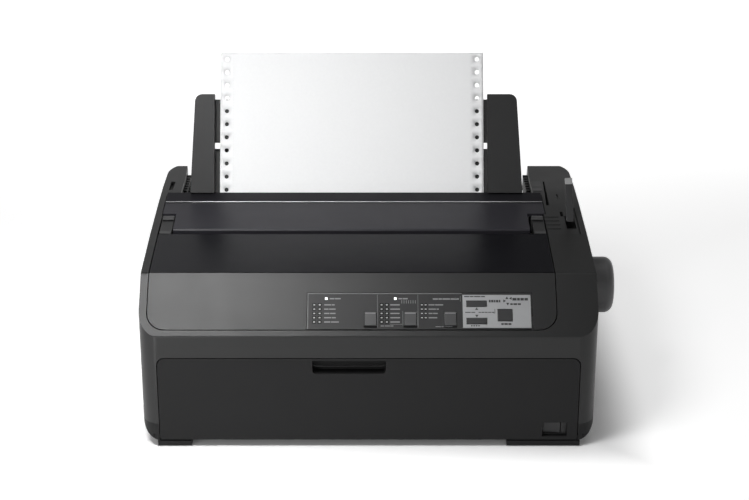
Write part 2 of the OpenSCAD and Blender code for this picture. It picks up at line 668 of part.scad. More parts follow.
rocker_x = switch_x0 + 1.2 + rocker_w / 2;
rocker_at = [front_t + 3.9, switch_z0 + switch_h / 2];
module power_switch() color(dark) place() {
  y0 = front_t + 0.9;
  difference() {
    box([switch_x0 - 2, y0, floor_z + wall], [switch_x0 + switch_w + 2, y0 + 22, switch_z0 + switch_h + 2]);
    box([rocker_x - rocker_w / 2 - 0.4, y0 - 1, rocker_at[1] - rocker_h / 2 - 0.4],
        [rocker_x + rocker_w / 2 + 0.4, y0 + 9, rocker_at[1] + rocker_h / 2 + 0.4]);
    rod_z(0, 40, rocker_x, rocker_at[0], 1.2 + run);
    // room for the lower edge of the open front cover
    box([switch_x0 - 3, y0 - 1, floor_z], [switch_x0 + switch_w + 3, front_hinge[0] + front_t + 0.5, front_hinge[1] + 0.35]);
  }
  for (x = [0:2]) box([switch_x0 + switch_w - 4.6 + x * 1.5, y0 - 0.5, switch_z0 + 1.5],
                      [switch_x0 + switch_w - 3.9 + x * 1.5, y0, switch_z0 + switch_h - 1.5]);
}

// the rocker turns about an upright pin, so that it tips left and right
module power_rocker() color(dark) place() {
  front = front_t + 1;
  h0 = rocker_at[1] - rocker_h / 2;
  translate([0, 0, h0]) linear_extrude(rocker_h) polygon([
    [rocker_x - rocker_w / 2 + 0.3, front + 0.9], [rocker_x, front + 0.9], [rocker_x + rocker_w / 2 - 0.3, front - 0.1],
    [rocker_x + rocker_w / 2 - 0.8, front + 3.4], [rocker_x + 2, front + 6], [rocker_x - 2, front + 6],
    [rocker_x - rocker_w / 2 + 0.8, front + 3.4]
  ]);
  rod_z(h0 - 1.4, h0 + rocker_h + 1.4, rocker_x, rocker_at[0], 1.2);
}

// ---------- tension unit ----------

module tension_unit() color(trim_grey) place() {
  difference() {
    union() {
      along_x(bar_x0, bar_x1) polygon([
        [bar_y0, roof_z(bar_y0) - 7], [bar_y0, roof_z(bar_y0) - 1.2], [bar_y0 + 1.2, roof_z(bar_y0) + 0.2],
        [tray_y + 0.6, roof_z(tray_y) + 0.2], [tray_y + 0.6, roof_z(tray_y) - 3], [bar_y0 + 3, roof_z(bar_y0) - 3],
        [bar_y0 + 3, roof_z(bar_y0) - 7]
      ]);
      along_x(tab_x0, tab_x1) polygon([
        [tray_y + 0.6, roof_z(tray_y) - 3], [tray_y + 0.6, roof_z(tray_y) + 0.2], [bar_y1 - 1, roof_z(bar_y1) + 0.2],
        [bar_y1, roof_z(bar_y1) - 0.8], [bar_y1, roof_z(bar_y1) - 3]
      ]);
      // cheeks that stand on the side frames and carry the rollers
      for (x = [frame_x0 - 3.2, frame_x1 - 1.2])
        box([x, roller_y - 8, frame_saddle + seat], [x + 4.4, roller_y + 8, roof_z(roller_y) - 1]);
    }
    rod_x(frame_x0 - 10, frame_x1 + 10, [roller_y, roller_z], 2 + run);
  }
}

module tension_rollers() color(dark) place() {
  rod_x(frame_x0 - 2.6, frame_x1 + 2.6, [roller_y, roller_z], 2);
  for (x = [paper_x - 100, paper_x - 50, paper_x, paper_x + 50, paper_x + 100])
    rod_x(x - 9, x + 9, [roller_y, roller_z], roller_r);
}

// ---------- platen and gear train ----------

module platen_roller() color(dark) place() difference() {
  rod_x(frame_x0 + 5, frame_x1 - 5, platen_at, platen_r);
  rod_x(frame_x0, frame_x1, platen_at, shaft_r);
}

module platen_shaft() color(steel) place() {
  rod_x(frame_x0 - sheet - 2, knob_x1 - 4, platen_at, shaft_r);
  for (x = [frame_x0 + 0.6, frame_x1 - 4.6]) difference() {
    rod_x(x, x + 4, platen_at, shaft_r + 3);
    rod_x(x - 1, x + 5, platen_at, shaft_r - 0.5);
  }
}

module platen_gear() color(nylon) place() gear(platen_at, platen_teeth, 0, shaft_r);

module platen_knob() color([0.26, 0.26, 0.27]) place() translate([knob_x0, platen_y, platen_z]) rotate([0, 90, 0])
  rotate_extrude($fn = 96) polygon(concat(
    [[shaft_r, 0], [knob_r - 1, 0], [knob_r, 1]],
    [for (k = [0:8]) [knob_r - 8 + 8 * cos(k * 90 / 8), knob_l - 8 + 8 * sin(k * 90 / 8)]],
    [[shaft_r + 6, knob_l], [shaft_r + 5, knob_l - 1], [0, knob_l - 1], [0, knob_l - 3.5], [shaft_r, knob_l - 3.5]]));

module feed_motor() color(steel) place() {
  x0 = frame_x1 - 30;
  difference() {
    rod_x(x0, frame_x1, pinion_at, 18);
    rod_x(frame_x1 - 8, frame_x1 + 1, pinion_at, pinion_shaft_r + run);
  }
  rod_x(x0 - 2, x0 + 0.1, pinion_at, 6);
  for (s = [-1, 1]) difference() {
    box([frame_x1 - sheet, pinion_at[0] + (s > 0 ? 15 : -26), pinion_at[1] - 5],
        [frame_x1, pinion_at[0] + (s > 0 ? 26 : -15), pinion_at[1] + 5]);
    rod_x(frame_x1 - 3, frame_x1 + 1, pinion_at + [s * 22, 0], 1.7);
  }
}

// the pinion is drawn with the motor's shaft, which turns in the motor
module feed_pinion() color([0.78, 0.62, 0.3]) place() {
  gear(pinion_at, pinion_teeth, pinion_phase, pinion_shaft_r - 0.1);
  rod_x(gear_x + gear_w, gear_x + gear_w + 2, pinion_at, 4);
  rod_x(frame_x1 - 7.5, gear_x + gear_w + 2, pinion_at, pinion_shaft_r);
}

module idler_gear_front() color(nylon) place() gear(idler_a_at, idler_a_teeth, idler_a_phase, post_r + run);
module idler_gear_rear() color(nylon) place() gear(idler_b_at, idler_b_teeth, idler_b_phase, post_r + run);

// ---------- tractors ----------

module tractor_shaft() color(steel) place()
  rod_x(frame_x0 - sheet - 2, gear_x + gear_w + 2, tractor_at, shaft_r);

module tractor_gear() color(nylon) place() gear(tractor_at, tractor_teeth, tractor_phase, shaft_r);

left_row = paper_x0 + hole_inset;
right_row = paper_x1 - hole_inset;
tractor_top = tractor_z + 12;
flap_z = tractor_top + 4;
module tractor(x, out) {
  x0 = x - tractor_w / 2;
  y0 = tractor_y - tractor_l / 2;
  difference() {
    union() {
      along_x(x0, x0 + tractor_w) polygon(rounded(
        frame_rect(y0, tractor_z - rod_drop - 7, y0 + tractor_l, tractor_top), [7, 7, 9, 9], 5));
      // post of the flap's hinge at the outer side
      for (y = [y0 + 6, y0 + tractor_l - 12])
        box([x + out * tractor_w / 2 - 1.9, y, tractor_top - 3], [x + out * tractor_w / 2 + 1.9, y + 6, flap_z + 2.9]);
    }
    rod_x(x0 - 1, x0 + tractor_w + 1, tractor_at, shaft_r + 0.3);
    rod_x(x0 - 1, x0 + tractor_w + 1, tractor_at - [0, rod_drop], rod_r + run);
    translate([x + out * tractor_w / 2, y0, flap_z + 1]) rotate([-90, 0, 0]) cylinder(h = tractor_l, r = 1.2 + run);
  }
  // pins of the pin belt
  for (k = [-1:1]) translate([x, tractor_y + k * hole_pitch, tractor_top - 0.5]) cylinder(h = 2.6, r1 = 1.75, r2 = 1.1);
  // boss of the lock lever
  rod_x(out > 0 ? x0 - 6 : x0 + tractor_w, out > 0 ? x0 : x0 + tractor_w + 6, [tractor_y + 14, tractor_z + 4], 2.5);
}
module left_tractor() color(dark) place() tractor(left_row, -1);
module right_tractor() color(dark) place() tractor(right_row, 1);

module tractor_flap(x, out) {
  y0 = tractor_y - tractor_l / 2;
  hinge_x = x + out * tractor_w / 2;
  inner = x - out * tractor_w / 2;
  // the plate starts this far from the hinge, clear of the posts
  reach = hinge_x - out * 3;
  difference() {
    union() {
      box([min(reach, inner), y0 + 1, flap_z], [max(reach, inner), y0 + tractor_l - 1, flap_z + 2.2]);
      box([hinge_x - (out > 0 ? 3.2 : 2.4), y0 + 12.4, flap_z],
          [hinge_x + (out > 0 ? 2.4 : 3.2), y0 + tractor_l - 12.4, flap_z + 2.2]);
    }
    box([x - 3, tractor_y - 18, flap_z - 1], [x + 3, tractor_y + 18, flap_z + 3]);
  }
  translate([hinge_x, y0 + 7, flap_z + 1]) rotate([-90, 0, 0]) cylinder(h = tractor_l - 14, r = 1.2);
}
module left_tractor_flap() color(trim_grey) place() tractor_flap(left_row, -1);
module right_tractor_flap() color(trim_grey) place() tractor_flap(right_row, 1);

module tractor_lock(x, out) {
  x0 = out > 0 ? x - tractor_w / 2 - 5.3 : x + tractor_w / 2 + 0.3;
  at = [tractor_y + 14, tractor_z + 4];
  difference() {
    union() {
      rod_x(x0, x0 + 5, at, 5);
      along_x(x0 + 1, x0 + 4) polygon([at + [-3, 2], at + [3, 2], at + [4.5, 22], at + [1, 22]]);
    }
    rod_x(x0 - 1, x0 + 6, at, 2.5 + run);
  }
}
module left_tractor_lock() color([0.2, 0.35, 0.6]) place() tractor_lock(left_row, -1);
module right_tractor_lock() color([0.2, 0.35, 0.6]) place() tractor_lock(right_row, 1);

// ---------- print mechanism ----------

module carriage() color(dark) place() {
  x0 = paper_x - carriage_w / 2;
  x1 = paper_x + carriage_w / 2;
  difference() {
    union() {
      box([x0, rail_y - 7.5, rail_z - 9], [x1, rail_y + 9, rail_z + 9]);
      box([x0 + 6, front_rail_y - 5, front_rail_z - 5], [x1 - 6, rail_y - 7, front_rail_z + 5]);
      box([x0 + 4, rail_y + 8, rail_z - 2], [x1 - 4, rail_y + 14, rail_z + 9]);
      box([x0 + 4, rail_y + 14, rail_z + 5], [x1 - 4, rail_y + 28, rail_z + 9]);
      // clamp on the rear run of the belt
      box([paper_x - 8, belt_y + pulley_r + 0.3 + belt_t + 0.3, belt_z - 4], [paper_x + 8, rail_y - 4, rail_z - 8]);
      box([paper_x - 8, belt_y + pulley_r - 3, belt_z - 4], [paper_x + 8, rail_y - 4, belt_z - 1]);
      box([paper_x - 8, belt_y + pulley_r - 3, belt_z - 4], [paper_x + 8, belt_y + pulley_r, belt_z + belt_h]);
    }
    rod_x(x0 - 1, x1 + 1, [rail_y, rail_z], rail_r + run);
    rod_x(x0 - 1, x1 + 1, [front_rail_y, front_rail_z], front_rail_r + run);
  }
}

module print_head() color([0.3, 0.3, 0.32]) place() {
  z0 = rail_z + 9;
  box([paper_x - 20, rail_y + 11, z0], [paper_x + 20, rail_y + 27, z0 + 20]);
  for (k = [-4:4]) box([paper_x + k * 4.4 - 0.9, rail_y + 11, z0 + 20], [paper_x + k * 4.4 + 0.9, rail_y + 26, z0 + 26]);
  along_x(paper_x - 6, paper_x + 6) polygon([
    [rail_y + 27, z0 + 3], [head_face, z0 + 8], [head_face, z0 + 17], [rail_y + 27, z0 + 20]
  ]);
}

module guide_shafts() color(steel) place() {
  rod_x(frame_x0 - sheet, frame_x1 + sheet, [rail_y, rail_z], rail_r);
  rod_x(frame_x0, frame_x1, [front_rail_y, front_rail_z], front_rail_r);
  rod_x(frame_x0, frame_x1, tractor_at - [0, rod_drop], rod_r);
}

module carriage_motor() color(steel) place() {
  rod_z(chassis_z, belt_z - 4, pulley_x1, belt_y, 20);
  rod_z(belt_z - 4, belt_z + belt_h + 3, pulley_x1, belt_y, 2.5);
}

module pulley(x) difference() {
  union() {
    rod_z(belt_z - 1, belt_z + belt_h + 1, x, belt_y, pulley_r);
    for (z = [belt_z - 2, belt_z + belt_h + 0.5]) rod_z(z, z + 1.5, x, belt_y, pulley_r + 1.8);
  }
  rod_z(belt_z - 5, belt_z + belt_h + 5, x, belt_y, 2.5 + run);
}
module motor_pulley() color(nylon) place() pulley(pulley_x1);
module end_pulley() color(nylon) place() pulley(pulley_x0);

module carriage_belt() color(dark) place() {
  inner = pulley_r + 0.3;
  translate([0, 0, belt_z + 0.3]) linear_extrude(belt_h - 0.9) difference() {
    union() {
      translate([pulley_x0, belt_y - inner - belt_t]) square([pulley_x1 - pulley_x0, 2 * (inner + belt_t)]);
      for (x = [pulley_x0, pulley_x1]) translate([x, belt_y]) circle(r = inner + belt_t);
    }
    translate([pulley_x0, belt_y - inner]) square([pulley_x1 - pulley_x0, 2 * inner]);
    for (x = [pulley_x0, pulley_x1]) translate([x, belt_y]) circle(r = inner);
  }
}

knob_at = [cartridge_x0 + 25, 50];
module ribbon_cartridge() color([0.13, 0.13, 0.14]) place() {
  top = cartridge_z + cartridge_h;
  difference() {
    union() {
      rounded_plate(cartridge_x0, 34, cartridge_x1, 84, 6, cartridge_z, top);
      for (x = [cartridge_x0, cartridge_x1 - 12]) box([x, 70, cartridge_z], [x + 12, ribbon_y + 0.3, cartridge_z + 14]);
      // ears that rest on the side frames
      box([frame_x0 - sheet - 2, 50, frame_rest], [cartridge_x0 + 1, 62, frame_rest + 3]);
      box([cartridge_x1 - 1, 50, frame_rest], [frame_x1 + sheet + 2, 62, frame_rest + 3]);
    }
    rod_z(top - 8, top + 1, knob_at[0], knob_at[1], 2.5 + run);
    // raised rim pattern of the lid
    for (k = [0:5]) box([cartridge_x0 + 60 + k * 34, 42, top - 1], [cartridge_x0 + 84 + k * 34, 76, top + 1]);
  }
}

module ribbon() color([0.06, 0.06, 0.07]) place()
  box([cartridge_x0 + 12, ribbon_y, cartridge_z + 1.5], [cartridge_x1 - 12, ribbon_y + ribbon_t, cartridge_z + 13]);

module ribbon_knob() color([0.2, 0.35, 0.6]) place() {
  top = cartridge_z + cartridge_h;
  difference() {
    rod_z(top + seat, top + 7, knob_at[0], knob_at[1], 9);
    for (k = [0:11]) rotate_about(knob_at, k * 30) rod_z(top, top + 8, knob_at[0] + 9.4, knob_at[1], 1.2);
  }
  rod_z(top - 7, top + 1, knob_at[0], knob_at[1], 2.5);
}
module rotate_about(at, angle) translate([at[0], at[1], 0]) rotate([0, 0, angle]) translate([-at[0], -at[1], 0]) children();

// ---------- frames and electronics ----------

module side_frame(x) difference() {
  along_x(x, x + sheet) polygon([
    [frame_y0, frame_z0], [frame_y1, frame_z0], [frame_y1, tractor_z + 12], [210, frame_saddle], [165, frame_saddle],
    [platen_y + 6, platen_z + 24], [platen_y - 14, platen_z + 20], [92, frame_rest + 6], [66, frame_rest],
    [frame_y0, frame_rest]
  ]);
  rod_x(x - 1, x + sheet + 1, platen_at, shaft_r + run);
  rod_x(x - 1, x + sheet + 1, [rail_y, rail_z], rail_r + run);
  rod_x(x - 1, x + sheet + 1, tractor_at, shaft_r + run);
}
module left_frame() color(steel) place() side_frame(frame_x0 - sheet);
module right_frame() color(steel) place() {
  difference() {
    side_frame(frame_x1);
    rod_x(frame_x1 - 1, frame_x1 + sheet + 1, pinion_at, 2.5);
    for (s = [-1, 1]) rod_x(frame_x1 - 1, frame_x1 + sheet + 1, pinion_at + [s * 22, 0], 1.7);
  }
  for (at = [idler_a_at, idler_b_at]) {
    rod_x(frame_x1 + sheet, gear_x + gear_w + 1.6, at, post_r);
    difference() {
      rod_x(frame_x1 + sheet, gear_x - seat, at, post_r + 2);
      rod_x(frame_x1 + sheet - 1, gear_x, at, post_r - 0.5);
    }
  }
}

module chassis() color(steel) place() {
  difference() {
    box([frame_x0, frame_y0, frame_z0], [frame_x1, frame_y1, chassis_z]);
    for (x = screw_x, y = screw_y) rod_z(frame_z0 - 1, chassis_z + 1, x, y, 1.8);
  }
  for (x = [-158, 12], y = [board_y0 + 8, board_y1 - 8]) rod_z(chassis_z, board_top - 1.6, x, y, 3);
  rod_z(chassis_z, belt_z - 2.3, pulley_x0, belt_y, 5);
  rod_z(belt_z - 2.5, belt_z + belt_h + 3, pulley_x0, belt_y, 2.5);
}

module main_board() color([0.1, 0.35, 0.18]) place() {
  box([-165, board_y0, board_top - 1.6], [20, board_y1, board_top]);
  for (c = [[-150, 205, 28, 28, 3], [-105, 210, 22, 12, 3], [-70, 206, 14, 30, 4], [-40, 215, 26, 10, 8], [-20, 240, 20, 20, 3],
            [-5, 200, 18, 8, 10]])
    box([c[0], c[1], board_top], [c[0] + c[2], c[1] + c[3], board_top + c[4]]);
}

module power_supply() color([0.45, 0.35, 0.2]) place() {
  box([44, board_y0, chassis_z], [146, board_y1 - 2, chassis_z + 2]);
  box([52, 200, chassis_z + 2], [88, 236, chassis_z + 32]);
  box([96, 200, chassis_z + 2], [138, 206, chassis_z + 38]);
  for (p = [[104, 226, 11], [130, 226, 8], [60, 262, 7], [80, 262, 7]])
    rod_z(chassis_z + 2, chassis_z + 30, p[0], p[1], p[2]);
}

module ac_inlet() color(dark) place() {
  y1 = body_d - 0.3;
  difference() {
    union() {
      box([inlet_x - 14, body_d - 26, inlet_z - 10], [inlet_x + 14, y1, inlet_z + 10]);
      box([inlet_x - 18, body_d - wall - 2.3, inlet_z - 13], [inlet_x + 18, body_d - wall - seat, inlet_z + 13]);
      // bracket down to the power supply
      box([inlet_x - 6, body_d - 36, chassis_z + 2], [inlet_x + 6, body_d - 30, inlet_z - 4]);
      box([inlet_x - 6, body_d - 32, inlet_z - 10], [inlet_x + 6, body_d - 25, inlet_z - 4]);
    }
    translate([0, y1 + 1, 0]) rotate([90, 0, 0]) linear_extrude(17)
      polygon(rounded(frame_rect(inlet_x - 12, inlet_z - 8, inlet_x + 12, inlet_z + 8), [1, 1, 4, 4], 2));
  }
  for (p = [[-7, -1], [0, 3], [7, -1]]) box([inlet_x + p[0] - 1, y1 - 17, inlet_z + p[1] - 2], [inlet_x + p[0] + 1, y1 - 3, inlet_z + p[1] + 2]);
}

module parallel_port() color(steel) place() {
  difference() {
    box([port_x - 28, board_y1 - 16, board_top], [port_x + 28, body_d - 0.3, board_top + 14]);
    box([port_x - 24, body_d - 12, board_top + 3], [port_x + 24, body_d + 1, board_top + 11]);
  }
  box([port_x - 21, body_d - 12.5, board_top + 6], [port_x + 21, body_d - 3, board_top + 8]);
}

// ---------- paper guide ----------

module paper_guide() color(dark) place() {
  back = -guide_back - board_t;
  difference() {
    union() {
      on_guide() rounded_plate(board_x0, -8, board_x1, board_len, 5, back, -guide_back);
      // foot that reaches back to the hinge, cut from the same profile as the board
      along_x(board_x0, board_x1) polygon(concat(
        [for (q = [[-8, -guide_back], [-8, -guide_back - 0.5]])
          exit_point + q[0] * guide_dir + q[1] * [-sin(guide_angle), cos(guide_angle)]],
        [[pivot_y - 3, pivot_z - 5], [pivot_y + 3, pivot_z - 4], [pivot_y + 5, pivot_z + 2]],
        [exit_point + 8 * guide_dir + (back + 0.2) * [-sin(guide_angle), cos(guide_angle)]]));
      rod_x(rear_x0 + 0.5, rear_x1 - 0.5, [pivot_y, pivot_z], 5);
      rod_x(rear_x0 - wall + 0.4, rear_x1 + wall - 0.4, [pivot_y, pivot_z], pivot_r);
    }
    // slots for the sliders of the edge guides
    on_guide() for (x = [[board_x0 + 2, board_x0 + 28], [board_x1 - 34, board_x1 - 3]])
      box([x[0], 40, back - 1], [x[1], 46, 0]);
  }
}

// a post whose lower end follows the exit lip
module edge_guide(x0, w, taper, hold_x) {
  front = 7;
  foot = -3.4;
  difference() {
    on_guide() translate([0, 0, -guide_back + seat]) linear_extrude(front + guide_back - seat) polygon(rounded(
      [[x0 - taper[0], foot], [x0 + w + taper[1], foot], [x0 + w, board_len + post_extra], [x0, board_len + post_extra]],
      [1, 1, taper[1] > 0 ? 7 : 0, taper[0] > 0 ? 7 : 0], 5));
    along_x(x0 - 20, x0 + w + 20) polygon(inset(lip_section, lip_clear));
  }
  on_guide() {
    // slider through the board's slot, with a head behind it
    box([hold_x - 3, 40.4, -guide_back - board_t - seat - 0.2], [hold_x + 3, 45.6, -guide_back + seat + 0.1]);
    box([hold_x - 6, 37, -guide_back - board_t - seat - 2.4], [hold_x + 6, 49, -guide_back - board_t - seat]);
  }
}
module left_edge_guide() color(case_grey) place()
  edge_guide(left_post_x + left_taper, left_post_w - left_taper, [left_taper, 0], left_post_x + 16);
module right_edge_guide() color(case_grey) place()
  edge_guide(right_post_x, right_post_w - right_taper, [0, right_taper], right_post_x + 10);

// ---------- levers, feet, screws and paper ----------

module release_lever() color(trim_grey) place() {
  up = [sin(lever_lean), cos(lever_lean)];
  side = [cos(lever_lean), -sin(lever_lean)];
  difference() {
    union() {
      along_x(lever_x0, lever_x0 + lever_w) polygon([
        lever_at + 2 * up + 2.5 * side, lever_at + lever_len * up + 1.6 * side, lever_at + lever_len * up - 1.6 * side,
        lever_at + 24 * up - 2.5 * side, lever_at + 2 * up - 2.5 * side
      ]);
      rod_x(lever_x0, lever_x0 + lever_w, lever_at, 6.5);
    }
    rod_x(lever_x0 - 1, lever_x0 + lever_w + 1, lever_at, 3 + run);
  }
}

module thickness_lever() color([0.2, 0.35, 0.6]) place() {
  x0 = frame_x0 + seat;
  at = [rail_y, rail_z];
  difference() {
    union() {
      rod_x(x0, x0 + 4, at, 9);
      along_x(x0, x0 + 4) polygon([at + [-5, 4], at + [5, 4], at + [12, 44], at + [12, 54], at + [6, 54], at + [3, 44]]);
    }
    rod_x(x0 - 1, x0 + 5, at, rail_r + run);
  }
}

module rubber_feet() color([0.06, 0.06, 0.06]) place()
  for (x = [front_x0 + 14, 160], y = [14, body_d - 30]) rod_z(0, y < 50 ? 0.8 : floor_z, x, y, 8);

module screws() color([0.55, 0.55, 0.57]) place()
  for (x = screw_x, y = screw_y) {
    rod_z(floor_z + 1, chassis_z, x, y, 1.45);
    difference() {
      rod_z(chassis_z, chassis_z + 2.2, x, y, 3.2);
      box([x - 2.2, y - 0.4, chassis_z + 1.2], [x + 2.2, y + 0.4, chassis_z + 3]);
      box([x - 0.4, y - 2.2, chassis_z + 1.2], [x + 0.4, y + 2.2, chassis_z + 3]);
    }
  }

module paper_sheet() color("white") place() difference() {
  along_x(paper_x0, paper_x1) polygon(concat(page_side(paper_t / 2),
    [for (i = [len(page_stops) - 1:-1:0]) page_side(-paper_t / 2)[i]]));
  for (l = [hole_pitch / 2:hole_pitch:page_len - 3], x = [left_row, right_row]) let (q = page_at(l))
    translate([x, q[0][0], q[0][1]]) rotate([q[1], 0, 0]) translate([0, 0, -1]) cylinder(h = 2, r = hole_r, $fn = 24);
}

// ---------- nodes ----------

lower_case();
upper_case();
front_cover();
printer_cover();
cover_window();
exit_lip();
control_panel();
panel_label();
panel_board();
button_left();
button_middle();
button_right();
button_upper_bar();
button_lower_bar();
button_square();
power_switch();
power_rocker();
tension_unit();
tension_rollers();
platen_roller();
platen_shaft();
platen_gear();
platen_knob();
feed_motor();
feed_pinion();
idler_gear_front();
idler_gear_rear();
tractor_shaft();
tractor_gear();
left_tractor();
right_tractor();
left_tractor_flap();
right_tractor_flap();
left_tractor_lock();
right_tractor_lock();
carriage();
print_head();
guide_shafts();
carriage_motor();
motor_pulley();
end_pulley();
carriage_belt();
ribbon_cartridge();
ribbon();
ribbon_knob();
left_frame();
right_frame();
chassis();
main_board();
power_supply();
paper_guide();
left_edge_guide();
right_edge_guide();
release_lever();
thickness_lever();
ac_inlet();
parallel_port();
rubber_feet();
screws();
paper_sheet();
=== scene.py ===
# Dot matrix printer with a hinged window cover and one loaded fanfold page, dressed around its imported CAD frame.
import json
from math import cos, hypot, pi, radians, sin, tan

import bmesh
import bpy
import numpy as np
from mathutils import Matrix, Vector


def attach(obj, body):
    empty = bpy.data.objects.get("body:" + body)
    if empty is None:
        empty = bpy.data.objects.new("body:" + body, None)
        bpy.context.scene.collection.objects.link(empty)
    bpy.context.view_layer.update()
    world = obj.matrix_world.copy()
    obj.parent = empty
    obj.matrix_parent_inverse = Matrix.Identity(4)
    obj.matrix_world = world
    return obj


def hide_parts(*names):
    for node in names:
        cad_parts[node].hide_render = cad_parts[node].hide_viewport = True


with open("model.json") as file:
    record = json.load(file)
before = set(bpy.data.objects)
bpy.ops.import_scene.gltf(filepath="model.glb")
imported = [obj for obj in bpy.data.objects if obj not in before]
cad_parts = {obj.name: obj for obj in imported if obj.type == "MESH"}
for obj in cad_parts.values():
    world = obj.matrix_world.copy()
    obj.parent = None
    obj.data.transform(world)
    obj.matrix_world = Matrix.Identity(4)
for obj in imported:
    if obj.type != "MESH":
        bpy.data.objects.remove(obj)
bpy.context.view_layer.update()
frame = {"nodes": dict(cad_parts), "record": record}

# ---------------------------------------------------------------------------------------------------------------
# Camera: the photograph is taken from straight ahead with a long lens, 22 degrees above the table.

camera = bpy.data.objects.new("camera", bpy.data.cameras.new("camera"))
bpy.context.scene.collection.objects.link(camera)
bpy.context.scene.camera = camera
camera.data.lens = 86.5
camera.data.shift_x = 0.0079
camera.location = (-0.01325, -1.5746, 0.7592)
camera.rotation_euler = (radians(68), 0, 0)

# ---------------------------------------------------------------------------------------------------------------
# Housing: lower case, upper case, front cover and printer cover, injection moulded in charcoal plastic with a
# fine eroded texture. Every moulded edge has a small round, which is what catches the light along it.


class Wire:
    """An output of a material's node. Sums on wires and numbers add Math nodes to the same material."""

    def __init__(self, tree, socket):
        self.tree, self.socket = tree, socket

    def add(self, kind, settings, inputs, out=0):
        """Adds a node of a kind: its settings go in first, then each input gets its value or its link."""
        node = self.tree.nodes.new("ShaderNode" + kind)
        for key, value in settings.items():
            if key == "stops":
                for stop, (place, shade) in zip(node.color_ramp.elements, value):
                    stop.position, stop.color = place, (shade, shade, shade, 1)
            else:
                setattr(node, key, value)
        for key, value in inputs.items():
            if isinstance(value, Wire):
                self.tree.links.new(value.socket, node.inputs[key])
            else:
                node.inputs[key].default_value = value
        return Wire(self.tree, node.outputs[out])

    def sum(self, operation, first, second=0.0):
        return self.add("Math", {"operation": operation}, {0: first, 1: second})

    def __add__(self, other):
        return self.sum("ADD", self, other)

    def __radd__(self, other):
        return self.sum("ADD", other, self)

    def __sub__(self, other):
        return self.sum("SUBTRACT", self, other)

    def __rsub__(self, other):
        return self.sum("SUBTRACT", other, self)

    def __mul__(self, other):
        return self.sum("MULTIPLY", self, other)

    def __rmul__(self, other):
        return self.sum("MULTIPLY", other, self)

    def __gt__(self, other):
        return self.sum("GREATER_THAN", self, other)

    def __lt__(self, other):
        return self.sum("LESS_THAN", self, other)

    def wave(self):
        return self.sum("SINE", self)

    def axis(self, index):
        """One coordinate of a vector, in metres."""
        return self.add("SeparateXYZ", {}, {0: self}, index)

    def stretched(self, x, y, z):
        return self.add("Mapping", {}, {"Vector": self, "Scale": (x, y, z)})

    def noise(self, scale, detail=2.0):
        """Noise from 0 to 1 with the given number of features to the metre."""
        return self.add("TexNoise", {}, {"Vector": self, "Scale": scale, "Detail": detail})

    def spread(self, low, high):
        """A value from 0 to 1 brought into a range, and held inside it."""
        return self.add("MapRange", {}, {0: self, 3: low, 4: high})

    def between(self, first, second):
        """A colour: the first where this wire is 0 and the second where it is 1."""
        colours = [c if isinstance(c, Wire) else (*c, 1) for c in (first, second)]
        return self.add("Mix", {"data_type": "RGBA"}, {0: self, 6: colours[0], 7: colours[1]}, 2)

    def bump(self, depth, strength=1.0):
        """A normal from this height, where 1 stands the given depth in metres above 0."""
        return self.add("Bump", {}, {"Strength": strength, "Distance": depth, "Height": self})


def finish(name):
    """A new material, with its shader's inputs and a wire that holds the place on the object."""
    material = bpy.data.materials.new(name)
    material.use_nodes = True
    tree = material.node_tree
    place = Wire(tree, tree.nodes.new("ShaderNodeTexCoord").outputs["Object"])
    return material, tree.nodes["Principled BSDF"].inputs, place


def feed(inputs, values):
    """Gives the shader's inputs their values, or links the wires to them."""
    for key, value in values.items():
        if isinstance(value, Wire):
            value.tree.links.new(value.socket, inputs[key])
        else:
            inputs[key].default_value = (*value, 1) if isinstance(value, tuple) else value


def tinted(colour, share):
    return tuple(min(1.0, c * share) for c in colour)


def moulded(name, colour, roughness, grain=1700, depth=0.00003, specular=0.4, variation=0.06):
    """Moulded plastic: an eroded grain as bump, and slow drifts of gloss and tone from flow and handling."""
    material, inputs, place = finish(name)
    drift = place.noise(9, 3)
    rub = place.noise(60, 4)
    feed(inputs, {
        "Base Color": drift.between(tinted(colour, 1 - variation), tinted(colour, 1 + variation)),
        "Roughness": roughness + (rub - 0.5) * 0.08 + (drift - 0.5) * 0.03,
        "Normal": (place.noise(grain, 3) + 0.35 * place.noise(grain * 0.27, 2)).bump(depth),
        "Specular IOR Level": specular,
    })
    return material


body_of = {node: body for body, nodes in frame["record"]["behaviour"]["bodies"].items() for node in nodes}


def piece_from(mesh, name, material, body):
    """A piece with one material, which moves with a body."""
    piece = bpy.data.objects.new(name, mesh)
    bpy.context.scene.collection.objects.link(piece)
    mesh.materials.clear()
    mesh.materials.append(material)
    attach(piece, body)
    return piece


def rounded_edges(piece, width, segments=2):
    """Rounds the sharp edges by the given width in millimetres and shades the flat faces as flat."""
    bevel = piece.modifiers.new("edge round", "BEVEL")
    bevel.width = width / 1000
    bevel.segments = segments
    bevel.limit_method = "ANGLE"
    bevel.angle_limit = radians(32)
    bevel.use_clamp_overlap = True
    bevel.miter_outer = "MITER_ARC"
    normals = piece.modifiers.new("flat faces", "WEIGHTED_NORMAL")
    normals.weight = 80
    normals.keep_sharp = False
    piece.data.shade_smooth()


